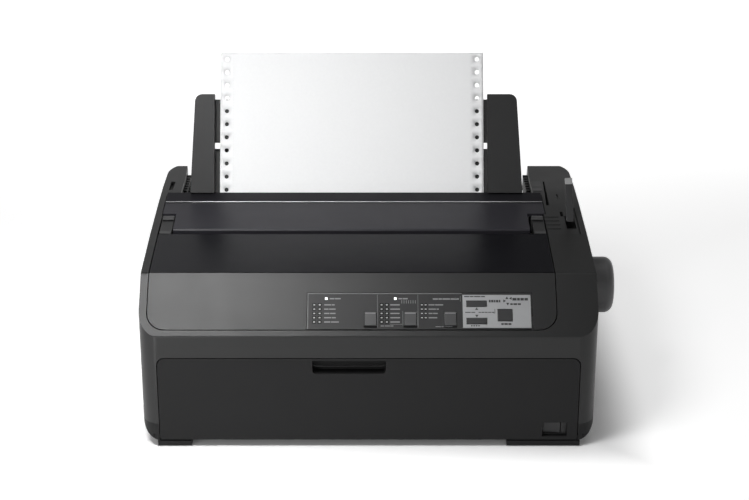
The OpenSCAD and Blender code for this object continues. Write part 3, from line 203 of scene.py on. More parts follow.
def dressed(node, material, width, segments=2, whole=True):
    """A copy of a CAD node with joined corners and rounded edges, which stands for the node. A width of 0 leaves
    the edges sharp. Where a flat face runs round a hole, whole=False keeps it in triangles, which bevel cleanly."""
    mesh = frame["nodes"][node].data.copy()
    shell = bmesh.new()
    shell.from_mesh(mesh)
    bmesh.ops.remove_doubles(shell, verts=shell.verts, dist=2e-6)
    if width and whole:
        bmesh.ops.dissolve_limit(shell, angle_limit=radians(0.3), verts=shell.verts, edges=shell.edges)
    shell.to_mesh(mesh)
    shell.free()
    if "custom_normal" in mesh.attributes:
        mesh.attributes.remove(mesh.attributes["custom_normal"])
    piece = piece_from(mesh, node + "_dressed", material, body_of[node])
    if width:
        rounded_edges(piece, width, segments)
    else:
        mesh.shade_flat()
    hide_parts(node)
    return piece


charcoal = (0.0115, 0.0115, 0.0118)
case_plastic = moulded("case plastic", charcoal, 0.5, specular=0.16)
cover_plastic = moulded("cover plastic", (0.013, 0.0131, 0.0132), 0.43, specular=0.32)
dressed("lower_case", case_plastic, 0.8)
dressed("upper_case", cover_plastic, 0.8)
dressed("front_cover", case_plastic, 0.7, whole=False)
dressed("printer_cover", cover_plastic, 0.6)


front_edge = (-13.25, -161.0, 0.0)  # the middle of the housing's front edge on the table, in the frame
roof_back, roof_up = (43, 120, 190, 232, 304), (149, 155.4, 159, 160, 158)
sunk = -0.1  # how deep the back of a thin plate stands in the surface that carries it


def in_frame(points):
    """Millimetres from the middle of the housing's front edge, as metres in the frame."""
    return (np.asarray(points, float) + front_edge) / 1000


def across(x):
    return (x + front_edge[0]) / 1000


def back(y):
    return (y + front_edge[1]) / 1000


def on_roof(points):
    """Points as (across, back, above the roof). The roof rises in straight steps behind the fascia."""
    x, y, n = np.moveaxis(np.asarray(points, float), -1, 0)
    return in_frame(np.stack([x, y, np.interp(y, roof_back, roof_up) + n], -1))


def plates(name, boxes, onto, material, body):
    """Many flat plates as one piece: each row (x0, s0, x1, s1, n0, n1) gives eight corners and six faces."""
    b = np.asarray(boxes, float)
    pick = np.array([[0, 1, 4], [2, 1, 4], [2, 3, 4], [0, 3, 4], [0, 1, 5], [2, 1, 5], [2, 3, 5], [0, 3, 5]])
    corners = onto(b[:, pick]).reshape(-1, 3)
    face = np.array([[3, 2, 1, 0], [4, 5, 6, 7], [0, 1, 5, 4], [1, 2, 6, 5], [2, 3, 7, 6], [3, 0, 4, 7]])
    faces = (face[None] + 8 * np.arange(len(b))[:, None, None]).reshape(-1, 4)
    mesh = bpy.data.meshes.new(name)
    mesh.from_pydata(corners.tolist(), [], faces.tolist())
    return piece_from(mesh, name, material, body)


def prism(name, outline, spans, material, body):
    """An outline in (back, up), drawn out across every span: two rings of points with sides and ends."""
    flat = np.asarray(outline, float)
    count = len(flat)
    corners = in_frame([[(x, *point) for point in flat] for span in spans for x in span]).reshape(-1, 3)
    faces = []
    for first in range(0, len(corners), 2 * count):
        near, far = first + np.arange(count), first + count + np.arange(count)
        faces += [near[::-1].tolist(), far.tolist()]
        faces += [[near[i], near[(i + 1) % count], far[(i + 1) % count], far[i]] for i in range(count)]
    mesh = bpy.data.meshes.new(name)
    mesh.from_pydata(corners.tolist(), [], faces)
    return piece_from(mesh, name, material, body)


def bead(name, path, radius, material, body):
    """A round bead along a path in an upright plane that faces the front: eight points square to each place."""
    at = np.asarray(path, float)
    along = np.gradient(at, axis=0)
    side = np.cross(along / np.linalg.norm(along, axis=1)[:, None], (0.0, 1.0, 0.0))
    turn = np.arange(8) * pi / 4
    depth = np.array([0, 1.0, 0])
    rings = at[:, None] + radius * (np.cos(turn)[:, None] * side[:, None] + np.sin(turn)[:, None] * depth)
    first = (8 * np.arange(len(at) - 1)[:, None] + np.arange(8)).reshape(-1)
    after = (8 * np.arange(len(at) - 1)[:, None] + np.roll(np.arange(8), -1)).reshape(-1)
    faces = np.stack([first, after, after + 8, first + 8], -1).tolist()
    faces += [list(range(7, -1, -1)), list(range(8 * len(at) - 8, 8 * len(at)))]
    mesh = bpy.data.meshes.new(name)
    mesh.from_pydata(in_frame(rings).reshape(-1, 3).tolist(), [], faces)
    piece = piece_from(mesh, name, material, body)
    mesh.shade_smooth()
    return piece


# The caps, the arms' front edges and the rail pad share a plastic about three times lighter than the case. On the caps
# this lightness is partly painted highlight. The thin strips on the arms' front edges are painted highlight, where the
# key catches those edges.
cap_and_highlight_plastic = moulded("cap plastic", (0.04, 0.04, 0.041), 0.42, grain=2300, depth=0.00002, specular=0.3)
# This black marks the seam in front of each arm cap, partly as painted shadow that the cap's front edge throws. Below
# and beside the first three buttons it is painted shadow only.
seam_and_shadow_black = moulded("seam black", (0.004, 0.004, 0.004), 0.7, specular=0.1)
pin_y, pin_z = 158, 151
arms = [(-191.8, -181.4), (152.3, 162.7)]
arm_w = 10.3
back_arc = [(pin_y + r * cos(radians(a)), pin_z + r * sin(radians(a)))
            for r, turn in ((7.2, range(90, 14, -15)), (5.15, range(15, 91, 15))) for a in turn]
rounded_edges(prism("arm_caps", [(151.2, 156.85), (151.2, 157.7), (156.5, 158.1)] + back_arc + [(152.2, 156.9)],
                    arms, cap_and_highlight_plastic, "printer_cover"), 0.2)
plates("arm_edges", [(x, 120.9, x + arm_w, 125.6, -0.6, 0.35) for x, _ in arms], on_roof, cap_and_highlight_plastic,
       "printer_cover")
# A black strip in front of each cap: painted shadow of the cap's front edge, along the seam between cap and arm.
plates("arm_seams", [(x, 149.4, x + arm_w, 151, -0.7, -0.05) for x, _ in arms], on_roof, seam_and_shadow_black,
       "printer_cover")
plates("rail_pad", [(159.1, 222.5, 168.2, 250, sunk, 0.25)], on_roof, cap_and_highlight_plastic, "printer_body")
plates("rail_ridges", [(164.2, y, 177.6, y + 0.8, sunk, 0.22) for y in (131, 140, 149, 158)], on_roof, case_plastic,
       "printer_body")
bead("grip_ridge", [(-48.6, 2.4, 80.4), (-47.8, 2.4, 79.0), (-46.2, 2.4, 78.2), (-44.0, 2.4, 78.0), (10.0, 2.4, 78.0),
                    (12.2, 2.4, 78.2), (13.8, 2.4, 79.0), (14.6, 2.4, 80.4)], 0.6, case_plastic, "front_cover")

# ---------------------------------------------------------------------------------------------------------------
# Window: a thick sheet of smoked, polished acrylic set behind the sloped part of the cover.

smoked, inputs, place = finish("smoked acrylic")
feed(inputs, {
    "Base Color": (0.005, 0.005, 0.0066),
    "Roughness": 0.2 + 0.1 * place.noise(14, 4),
    "Alpha": 0.97,
    "Specular IOR Level": 0.12,
    "Normal": place.noise(22, 2).bump(0.00012),
})
dressed("cover_window", smoked, 0.5)

# ---------------------------------------------------------------------------------------------------------------
# Bar over the platen and lip of the paper exit: satin plastic, a little lighter and cooler than the case.

bar_plastic = moulded("bar plastic", (0.025, 0.0242, 0.029), 0.42, grain=2300, depth=0.00002, specular=0.15)
lip_plastic = moulded("lip plastic", (0.012, 0.0117, 0.014), 0.45, grain=2300, depth=0.00002, specular=0.1)
roller_plastic = moulded("roller plastic", (0.02, 0.02, 0.02), 0.5)
dressed("tension_unit", bar_plastic, 0.5)
dressed("exit_lip", lip_plastic, 0.5)
dressed("tension_rollers", roller_plastic, 0.6)
# A pale metallic bead along the lip's front edge is a painted highlight. It stands for the bright line that the light
# draws along the edge of the plastic lip.
lip_highlight_metal, inputs, place = finish("bright strip")
feed(inputs, {"Base Color": (0.5, 0.5, 0.51), "Metallic": 0.6, "Roughness": 0.32 + 0.1 * place.noise(200, 3)})
bead("lip_bead", [(x, 192.62, 159.75) for x in np.linspace(-193.1, 165.4, 9)], 0.55, lip_highlight_metal, "printer_body")

# ---------------------------------------------------------------------------------------------------------------
# Control panel: a separate moulding in the slope, with lamps behind small windows, printed keys to them and a
# silver film at its right end. The prints are generic dashes, arrows and dots.

panel_plastic = moulded("panel plastic", (0.02, 0.02, 0.0206), 0.46, grain=2400, depth=0.00002, specular=0.25)
dressed("control_panel", panel_plastic, 0)

silver_film, inputs, place = finish("silver film")
feed(inputs, {
    "Base Color": place.noise(120, 3).between((0.28, 0.284, 0.289), (0.31, 0.314, 0.319)),
    "Roughness": 0.42 + 0.1 * place.noise(900, 2),
    "Metallic": 0.25,
    "Normal": place.noise(5200, 2).bump(0.000008),
})
dressed("panel_label", silver_film, 0)

ledge = 107.0
slope = np.arctan2(float(roof_up[0]) - ledge, float(roof_back[0]))


def up_fascia(points):
    """Points as (across, up the slope, out of it), turned by the slope about the ledge."""
    x, s, n = np.moveaxis(np.asarray(points, float), -1, 0)
    return in_frame(np.stack([x, s * cos(slope) - n * sin(slope), ledge + s * sin(slope) + n * cos(slope)], -1))


def printed(name, colour):
    """Screen printed ink, slightly uneven in cover."""
    material, inputs, place = finish(name)
    feed(inputs, {
        "Base Color": place.noise(2600, 2).between(tinted(colour, 0.8), colour),
        "Roughness": 0.5 + 0.15 * place.noise(900, 2),
    })
    return material


# The pale ink prints the panel's keys, and also paints the highlight along the top edges of the first three buttons.
key_ink_and_button_highlight = printed("pale ink", (0.2, 0.2, 0.205))
line_ink = printed("line ink", (0.14, 0.141, 0.143))
dark_ink = printed("dark ink", (0.014, 0.014, 0.015))
lamp_window, inputs, place = finish("lamp window")
feed(inputs, {"Base Color": (0.002, 0.002, 0.002), "Roughness": 0.3 + 0.1 * place.noise(600, 2),
              "Specular IOR Level": 0.1})
lamp_unlit, inputs, place = finish("unlit lamp")
feed(inputs, {"Base Color": place.noise(900, 2).between((0.3, 0.3, 0.3), (0.42, 0.42, 0.42)), "Roughness": 0.25})
lamp_lit, inputs, place = finish("lit lamp")
feed(inputs, {"Base Color": (0.9, 0.9, 0.9), "Emission Color": (1.0, 1.0, 1.0), "Emission Strength": 0.9,
              "Roughness": 0.3 + 0.1 * place.noise(900, 2)})

ink = 0.04  # how far a print stands out of its surface
rows_of_five = 13.9 + 4.0 * np.arange(5)
rows_of_four = 17.9 + 4.0 * np.arange(4)


def lamp_cells(x0, x1, rows):
    """Two windows side by side in every row."""
    width = (x1 - x0 - 1.2) / 2
    return [(x, s - 1.5, x + width, s + 1.5, sunk, ink) for s in rows for x in (x0, x1 - width)]


windows = (lamp_cells(-49.0, -40.8, rows_of_five) + lamp_cells(9.6, 17.6, rows_of_five)
           + lamp_cells(45.3, 50.7, rows_of_four))
plates("lamp_windows", windows, up_fascia, lamp_window, "printer_body")
lamps = [((a + c) / 2 - 0.8, (b + d) / 2 - 0.55, (a + c) / 2 + 0.8, (b + d) / 2 + 0.55, sunk, 2 * ink)
         for a, b, c, d, _, _ in windows]
plates("panel_lamps", lamps, up_fascia, lamp_unlit, "printer_body")
plates("panel_power_lamps", [(x - 1.1, 34.7, x + 1.1, 36.9, sunk, 2 * ink) for x in (-36.9, 23.3)],
       up_fascia, lamp_lit, "printer_body")


def dashes(x0, s, lengths, height=1.1, gap=0.5):
    """A printed line of dashes of the given lengths, which starts at x0."""
    starts = x0 + np.concatenate([[0], np.cumsum(np.asarray(lengths[:-1]) + gap)])
    return [(x, s - height / 2, x + length, s + height / 2, sunk, ink) for x, length in zip(starts, lengths)]


keys = (dashes(-34.0, 35.7, [4.2, 5.0]) + dashes(26.0, 35.7, [3.2, 4.4]) + dashes(56.0, 35.4, [4.4, 3.0, 6.6, 7.2], 1.4)
        + sum((dashes(-38.6, s, lengths) for s, lengths in zip(rows_of_five, (
            [5.5, 6.8], [6.2, 3.4], [4.6, 4.8], [3.8, 5.6], [6.0, 2.6]))), [])
        + sum((dashes(18.9, s, [length]) for s, length in zip(rows_of_five, (8.2, 8.4, 8.0, 8.4, 8.2))), [])
        + sum((dashes(52.2, s, lengths) for s, lengths in zip(rows_of_four, (
            [7.4], [3.4, 4.0], [6.4, 2.0], [5.2, 7.0]))), [])
        + dashes(10.5, 10.2, [3, 4.4, 2.6], 0.7) + dashes(58.0, 9.6, [4.6, 5.4, 3.6], 0.6))
plates("panel_keys", keys, up_fascia, key_ink_and_button_highlight, "printer_body")
hair = 0.35
frame_lines = [(-53.3, 40.2, 81.2, 41.0, sunk, ink), (-53.3, 7.2, -52.5, 40.2, sunk, ink),
               (7.5, 8.6, 7.5 + hair, 39.6, sunk, ink), (42.8, 8.6, 42.8 + hair, 39.6, sunk, ink),
               (18.4, 11.6, 29.0, 11.6 + hair, sunk, ink), (79.8, 33.0, 79.8 + hair, 38.4, sunk, ink)]
frame_lines += [(x, 31.2, x + 0.6, 34.2, sunk, ink) for x in np.linspace(28.6, 40.4, 7)]
frame_lines += [(x, 10.6, x + hair, 24.0, sunk, ink) for x in (29.6, 42.0)]
plates("panel_lines", frame_lines, up_fascia, line_ink, "printer_body")

marks = (dashes(83.4, 37.7, [4.4, 3.2, 5.6, 3.4], 1.0) + dashes(84.0, 22.9, [4.8, 3.4], 0.8)
         + dashes(95.6, 22.9, [2.0, 2.6, 2.2, 2.8, 2.0], 0.8) + dashes(88.8, 10.4, [1.2, 1.2, 1.2, 1.2], 1.3, 0.9)
         + dashes(104.8, 33.4, [1.6, 2.0, 1.4, 2.0, 1.4], 2.3, 0.4) + dashes(125.4, 35.2, [3.6, 2.4, 3.0, 3.0], 2.4)
         + dashes(123.4, 30.6, [2.2, 3.4, 2.6], 1.6) + dashes(115.0, 12.0, [2.2, 3.0, 2.6], 1.7)
         + [(109.6, 22.0, 110.0, 26.0, sunk, ink), (108.6, 22.0, 110.0, 22.4, sunk, ink)])
plates("label_marks", marks, up_fascia, dark_ink, "printer_body")


def arrows(name, centres, size, onto, material, body):
    """Small printed arrowheads: each is a prism on three points, turned by its own angle in degrees."""
    c = np.asarray(centres, float)
    turn = np.radians(c[:, 2:3] + (90, 210, 330))
    flat = c[:, None, :2] + size * np.stack([np.cos(turn), np.sin(turn)], -1)
    levels = [np.concatenate([flat, np.full(flat.shape[:2] + (1,), n)], -1) for n in (sunk, ink)]
    corners = onto(np.concatenate(levels, 1)).reshape(-1, 3)
    faces = [[6 * i + k for k in face] for i in range(len(c))
             for face in ((2, 1, 0), (3, 4, 5), (0, 1, 4, 3), (1, 2, 5, 4), (2, 0, 3, 5))]
    mesh = bpy.data.meshes.new(name)
    mesh.from_pydata(corners.tolist(), [], faces)
    return piece_from(mesh, name, material, body)


arrows("label_arrows", [(94, 26.0, 0), (94, 19.8, 180), (120.6, 36.2, 0), (121.2, 31.0, 180), (124.0, 36.0, 90),
                        (118.2, 33.6, -90), (75.6, 36.4, 0)], 1.6, up_fascia, dark_ink, "printer_body")

# ---------------------------------------------------------------------------------------------------------------
# Board behind the panel: green solder resist over copper tracks, with tin on the pads.


def circuit_board(name, top=10.0):
    """Solder resist with tracks where a square cell pattern changes, and black chips above a height in metres."""
    material, inputs, place = finish(name)
    cells = place.add("TexVoronoi", {"distance": "CHEBYCHEV", "feature": "F1"}, {"Vector": place, "Scale": 260})
    tracks = (cells * 70).wave() > 0.35
    pads = cells < 0.00055
    green = tracks.between((0.012, 0.075, 0.03), (0.05, 0.24, 0.08))
    tinned = pads.between(green, (0.5, 0.5, 0.47))
    chips = place.axis(2) > top
    feed(inputs, {
        "Base Color": chips.between(tinned, (0.012, 0.012, 0.013)),
        "Roughness": 0.3 + 0.25 * chips,
        "Normal": tracks.bump(0.00003),
    })
    return material


dressed("panel_board", circuit_board("panel board"), 0.15)
dressed("main_board", circuit_board("main board", 0.0213), 0.3)

# ---------------------------------------------------------------------------------------------------------------
# Buttons and power switch: satin caps pushed through the panel, each of the first three with a painted highlight of
# pale ink along its upper edge and a painted shadow of black plates below and beside it, and a black rocker in its
# housing.

button_plastic = moulded("button plastic", (0.045, 0.045, 0.046), 0.36, grain=3000, depth=0.000012)
film_button_plastic = moulded("film button plastic", (0.02, 0.02, 0.021), 0.42, grain=3000, depth=0.000012)
for node, x in (("button_left", 1.6), ("button_middle", 36.2), ("button_right", 70.9)):
    dressed(node, button_plastic, 0.45, 3)
    # A strip of pale ink along the top edge of each button is a painted highlight, where light from above catches the
    # edge.
    plates(node + "_edge", [(x - 4.7, 21.4, x + 4.7, 22.3, 0.8, 0.93)], up_fascia, key_ink_and_button_highlight, node)
    # Thin black plates below and to the right of each button are painted shadow where the cap stands proud of the
    # panel. There is no recess there.
    plates(node + "_well", [(x - 5.9, 8.3, x + 5.9, 10.3, sunk, ink), (x + 5.3, 10.3, x + 5.9, 22.4, sunk, ink)],
           up_fascia, seam_and_shadow_black, "printer_body")
for node in ("button_upper_bar", "button_lower_bar", "button_square"):
    dressed(node, film_button_plastic, 0.35, 3)

switch_plastic = moulded("switch plastic", (0.014, 0.014, 0.0145), 0.3, grain=2600, depth=0.00001, specular=0.4)
rocker_plastic = moulded("rocker plastic", (0.03, 0.03, 0.031), 0.3, grain=2600, depth=0.00001, specular=0.3)
dressed("power_switch", switch_plastic, 0.2, whole=False)
dressed("power_rocker", rocker_plastic, 0.18, 2)

# ---------------------------------------------------------------------------------------------------------------
# Page: one sheet of fanfold paper, 254 mm wide with a hole every 12.7 mm in both margins. It leans on the guide,
# bends forward under the bar and ends just past the front of the platen. The free end curls back a little.

page_w, page_l, pitch, inset, hole_r = 254.0, 279.4, 12.7, 6.35, 1.98
page_mid = -16.1
free_l = 95.0  # the stretch from the top edge that nothing holds
lean, feed_slope, bend_r = radians(64.5), radians(18), 25.0
wrap_r = 17.0 + 0.45 + 0.1  # the platen, the room that the page keeps from it and half of the page's CAD solid
platen = np.array([130.0, 101.0])
up_guide, up_feed = np.array([cos(lean), sin(lean)]), np.array([cos(feed_slope), sin(feed_slope)])
exit_point = np.array([214.7, 163.7])
tangent = platen + wrap_r * np.array([-sin(feed_slope), cos(feed_slope)])


def cross(a, b):
    return a[0] * b[1] - a[1] * b[0]


reach = cross(exit_point - tangent, up_guide) / cross(up_feed, up_guide)
bend_tangent = bend_r * tan((lean - feed_slope) / 2)
bend_start = tangent + reach * up_feed + bend_tangent * up_guide
bend_centre = bend_start + bend_r * np.array([-sin(lean), cos(lean)])
page_top = exit_point + 133.5 * up_guide
len_guide = hypot(*(page_top - bend_start))
len_bend = bend_r * (lean - feed_slope)
len_feed = reach - bend_tangent


def page_route(length):
    """Place and angle of the page's middle plane at a length from its top edge: straight down the guide, an arc,
    straight along the feed slope, and an arc round the platen."""
    on_bend = np.clip(length - len_guide, 0, len_bend) / bend_r
    on_wrap = np.clip(length - len_guide - len_bend - len_feed, 0, None) / wrap_r
    angle = lean - on_bend + on_wrap
    guide = page_top - np.clip(length, 0, len_guide)[..., None] * up_guide
    bend = bend_r * np.stack([-np.sin(lean - on_bend) + sin(lean), np.cos(lean - on_bend) - cos(lean)], -1)
    along = -np.clip(length - len_guide - len_bend, 0, len_feed)[..., None] * up_feed
    wrap = wrap_r * np.stack([-np.sin(feed_slope + on_wrap) + sin(feed_slope),
                              np.cos(feed_slope + on_wrap) - cos(feed_slope)], -1)
    return guide - bend + along + wrap, angle


def on_page(x, length):
    """A point of the page at x across and a length down it, with a slow curl of the free end."""
    at, angle = page_route(length)
    free = np.clip(1 - length / free_l, 0, 1) ** 2
    lift = -1.1 * free * (1 - 0.35 * np.cos((x - page_mid) / page_w * 2 * pi)) - 0.25 * free * np.sin(x / 31.0)
    normal = np.stack([-np.sin(angle), np.cos(angle)], -1)
    at = at + lift[..., None] * normal
    return in_frame(np.concatenate([x[..., None], at], -1))


lengths = np.concatenate([np.arange(0, page_l - 0.01, pitch / 8), [page_l]])
cells_down = len(lengths) - 1


def page_field(x0, x1, columns):
    """A plain grid of the page between two places across it."""
    x, length = np.meshgrid(np.linspace(x0, x1, columns + 1), lengths)
    corners = on_page(x, length).reshape(-1, 3)
    first = (np.arange(cells_down)[:, None] * (columns + 1) + np.arange(columns)).reshape(-1, 1)
    return corners, first + (0, columns + 1, columns + 2, 1)


def page_margin(x0, x1, row):
    """A margin as square cells one pitch high: eight steps along each side join to the round hole in its middle."""
    count = int(round(page_l / pitch))
    side = np.linspace(-1, 1, 9)[:-1]
    one = np.ones(8)
    square = np.concatenate([np.stack(pair, -1) for pair in ((side, -one), (one, side), (-side, one), (-one, -side))])
    edge = square * [(x1 - x0) / 2, pitch / 2]
    hole = hole_r * square / np.linalg.norm(square, axis=1)[:, None]
    middle = pitch / 2 + pitch * np.arange(count)
    outer = np.stack([np.broadcast_to((x0 + x1) / 2 + edge[:, 0], (count, 32)), middle[:, None] + edge[:, 1]], -1)
    inner = np.stack([np.broadcast_to(row + hole[:, 0], (count, 32)), middle[:, None] + hole[:, 1]], -1)
    flat = np.stack([outer, inner], 1).reshape(-1, 2)
    step, turn_by = np.arange(32), np.roll(np.arange(32), -1)
    cell = np.stack([step, turn_by, turn_by + 32, step + 32], -1)
    faces = (cell[None] + 64 * np.arange(count)[:, None, None]).reshape(-1, 4)
    return on_page(flat[:, 0], flat[:, 1]), faces


left, right = page_mid - page_w / 2, page_mid + page_w / 2
parts = [page_field(left + 2 * inset, right - 2 * inset, 60), page_margin(left, left + 2 * inset, left + inset),
         page_margin(right - 2 * inset, right, right - inset)]
offsets = np.cumsum([0] + [len(corners) for corners, _ in parts[:-1]])
mesh = bpy.data.meshes.new("page")
mesh.from_pydata(np.concatenate([c for c, _ in parts]).tolist(), [],
                 np.concatenate([f + o for (_, f), o in zip(parts, offsets)]).tolist())
shell = bmesh.new()
shell.from_mesh(mesh)
bmesh.ops.remove_doubles(shell, verts=shell.verts, dist=1e-5)
bmesh.ops.recalc_face_normals(shell, faces=shell.faces)
shell.to_mesh(mesh)
shell.free()

paper, inputs, place = finish("fanfold paper")
fibre = place.noise(420, 6)
tear_lines = [place.sum("ABSOLUTE", place.axis(0) - across(x)) < 0.00014
              for x in (left + 2 * inset, right - 2 * inset)]
cuts = (tear_lines[0] + tear_lines[1]) * ((place.axis(2) * 2600).wave() > 0.2)
feed(inputs, {
    "Base Color": cuts.between(fibre.between((0.84, 0.845, 0.85), (0.88, 0.885, 0.89)), (0.76, 0.76, 0.77)),
    "Roughness": 0.72 + 0.1 * fibre,
    "Specular IOR Level": 0.25,
    "Normal": (place.noise(1500, 4) + 6 * place.noise(14, 2)).bump(0.00002),
})
page = piece_from(mesh, "fanfold_page", paper, "printer_body")
thickness = page.modifiers.new("thickness", "SOLIDIFY")
thickness.thickness = 0.0001
thickness.offset = 0
page.data.shade_smooth()
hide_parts("paper_sheet")

# ---------------------------------------------------------------------------------------------------------------
# Paper guide: a black board that the page leans on, and two sliding edge guides with flat front faces.

guide_plastic = moulded("guide plastic", (0.02, 0.02, 0.0204), 0.44, grain=1500, specular=0.3)
board_plastic = moulded("board plastic", (0.012, 0.012, 0.012), 0.5, grain=1500)
dressed("paper_guide", board_plastic, 0.6)
dressed("left_edge_guide", guide_plastic, 0.9, 3)
dressed("right_edge_guide", guide_plastic, 0.9, 3)

# ---------------------------------------------------------------------------------------------------------------
# Platen: black ground rubber on a steel shaft, nylon gears, and a smooth grey knob outside the housing.


def ground_steel(name, colour, roughness, lines, depth=0.000006):
    """Metal with fine lines: noise that is stretched along the lines gives them their gloss and their bump."""
    material, inputs, place = finish(name)
    brushed = place.stretched(*lines).noise(1, 4)
    feed(inputs, {
        "Base Color": brushed.between(tinted(colour, 0.85), colour),
        "Metallic": 1.0,
        "Roughness": roughness + 0.18 * brushed,
        "Normal": brushed.bump(depth),
    })
    return material


shaft_steel = ground_steel("shaft steel", (0.6, 0.61, 0.62), 0.16, (2600, 60, 60))
nylon = moulded("gear nylon", (0.72, 0.7, 0.62), 0.42, grain=900, depth=0.00001, variation=0.05)
platen_rubber = moulded("platen rubber", (0.018, 0.018, 0.019), 0.6, grain=2600, depth=0.00002, specular=0.3)
knob_plastic = moulded("knob plastic", (0.1, 0.1, 0.102), 0.45, grain=1800, depth=0.00002)
dressed("platen_roller", platen_rubber, 0.4)
dressed("platen_shaft", shaft_steel, 0.4)
for node in ("platen_gear", "idler_gear_front", "idler_gear_rear", "tractor_gear"):
    dressed(node, nylon, 0.12, 1)
dressed("platen_knob", knob_plastic, 0.4, 3)

# ---------------------------------------------------------------------------------------------------------------
# Feed motor and its pinion: plated can with a brass pinion pressed on the shaft.

plated_steel = ground_steel("plated steel", (0.5, 0.5, 0.49), 0.3, (90, 90, 90), 0.00002)
brass = ground_steel("pinion brass", (0.7, 0.5, 0.2), 0.22, (900, 60, 60))
dressed("feed_motor", plated_steel, 0.8)
dressed("feed_pinion", brass, 0.1, 1)
dressed("carriage_motor", plated_steel, 0.8)

# ---------------------------------------------------------------------------------------------------------------
# Tractors: black blocks that slide on two shafts, with a hinged flap over the pins and a blue lock lever.

tractor_plastic = moulded("tractor plastic", (0.018, 0.018, 0.019), 0.4)
flap_plastic = moulded("flap plastic", (0.03, 0.03, 0.031), 0.4)
lever_blue = moulded("lever blue", (0.06, 0.16, 0.36), 0.38, grain=2200, depth=0.00001)
dressed("tractor_shaft", shaft_steel, 0.4)
for side in ("left", "right"):
    dressed(side + "_tractor", tractor_plastic, 0.4)
    dressed(side + "_tractor_flap", flap_plastic, 0.3)
    dressed(side + "_tractor_lock", lever_blue, 0.4)

# ---------------------------------------------------------------------------------------------------------------
# Print mechanism: a black carriage with a finned head runs on two shafts, pulled by a rubber belt, and inks the
# page through a ribbon that its cartridge carries past the head.

carriage_plastic = moulded("carriage plastic", (0.017, 0.017, 0.018), 0.42)
cartridge_plastic = moulded("cartridge plastic", (0.02, 0.02, 0.0205), 0.38)
head_metal = ground_steel("head metal", (0.12, 0.12, 0.125), 0.35, (500, 500, 60), 0.00002)
belt_rubber = moulded("belt rubber", (0.012, 0.012, 0.012), 0.65, specular=0.2)
ribbon_cloth, inputs, place = finish("ribbon cloth")
weave = (place.axis(0) * 9000).wave() * (place.axis(2) * 9000).wave()
feed(inputs, {
    "Base Color": weave.between((0.004, 0.004, 0.005), (0.012, 0.012, 0.016)),
    "Roughness": 0.55 + 0.15 * weave,
    "Normal": weave.bump(0.00003),
})
dressed("carriage", carriage_plastic, 0.5)
dressed("print_head", head_metal, 0.25)
dressed("guide_shafts", shaft_steel, 0.4)
dressed("motor_pulley", nylon, 0.3)
dressed("end_pulley", nylon, 0.3)
dressed("carriage_belt", belt_rubber, 0.1, 1)
dressed("ribbon_cartridge", cartridge_plastic, 0.6, whole=False)
dressed("ribbon", ribbon_cloth, 0.02, 1)
dressed("ribbon_knob", lever_blue, 0.4)

# ---------------------------------------------------------------------------------------------------------------
# Frames: side plates and base of zinc plated sheet steel, screwed to posts in the lower case.

zinc, inputs, place = finish("zinc plate")
spangle = place.add("TexVoronoi", {"feature": "F1"}, {"Vector": place, "Scale": 95}, 1)
tone = spangle.axis(0)
feed(inputs, {
    "Base Color": tone.between((0.42, 0.43, 0.44), (0.58, 0.59, 0.6)),
    "Metallic": 1.0,
    "Roughness": 0.28 + 0.16 * tone + 0.08 * place.noise(400, 3),
    "Normal": place.noise(260, 3).bump(0.00002),
})
for node in ("left_frame", "right_frame", "chassis"):
    dressed(node, zinc, 0.2)
dressed("screws", plated_steel, 0.15)

# ---------------------------------------------------------------------------------------------------------------
# Power supply: transformer, heat sink and capacitors on a brown board.

supply, inputs, place = finish("supply parts")
above_board = place.axis(2) > 0.0157
sink = (place.axis(1) < back(206.4)) * (place.axis(0) > across(94))
transformer = place.axis(0) < across(92)
round_can = place.axis(1) > back(212)
can = round_can.between((0.5, 0.35, 0.06), (0.01, 0.012, 0.02))
wound = (transformer * (1 - round_can)).between(can, (0.55, 0.38, 0.05))
feed(inputs, {
    "Base Color": above_board.between((0.1, 0.06, 0.025), sink.between(wound, (0.45, 0.45, 0.46))),
    "Metallic": sink * above_board,
    "Roughness": 0.4 + 0.2 * place.noise(300, 3),
    "Normal": place.noise(900, 3).bump(0.00002),
})
dressed("power_supply", supply, 0.4)

# ---------------------------------------------------------------------------------------------------------------
# Rear sockets: a black mains inlet with plated pins, and a data port in a plated shell.

inlet, inputs, place = finish("inlet plastic")
inlet_x, mouth = 115, 8.4
in_depth = (place.axis(1) > 0.1432) * (place.axis(1) < 0.1578)
in_width = (place.axis(0) > across(inlet_x - mouth)) * (place.axis(0) < across(inlet_x + mouth))
in_height = (place.axis(2) > 0.0478) * (place.axis(2) < 0.0562)
metal = in_depth * in_width * in_height
feed(inputs, {
    "Base Color": metal.between((0.014, 0.014, 0.015), (0.6, 0.6, 0.58)),
    "Metallic": metal,
    "Roughness": 0.36 + 0.1 * place.noise(400, 3),
    "Normal": place.noise(2000, 2).bump(0.00001),
})
dressed("ac_inlet", inlet, 0.4, whole=False)
dressed("parallel_port", plated_steel, 0.4)

# ---------------------------------------------------------------------------------------------------------------
# Levers and feet: the grey release lever, painted pale on its top as a highlight from above, the blue thickness lever
# and the rubber feet.

lever_plastic, inputs, place = finish("lever plastic")
# Everything of the lever above a set height is painted ten times lighter: a painted highlight where light from above
# falls on its top.
painted_lit_top = place.axis(2) > 0.1852
feed(inputs, {
    "Base Color": painted_lit_top.between((0.03, 0.03, 0.031), (0.3, 0.3, 0.3)),
    "Roughness": 0.38 + 0.12 * place.noise(80, 3),
    "Normal": place.noise(1900, 3).bump(0.00002),
    "Specular IOR Level": 0.3,
})
dressed("release_lever", lever_plastic, 0.5, 3)
dressed("thickness_lever", lever_blue, 0.4)
dressed("rubber_feet", moulded("feet rubber", (0.012, 0.012, 0.012), 0.7, specular=0.25), 0.2)

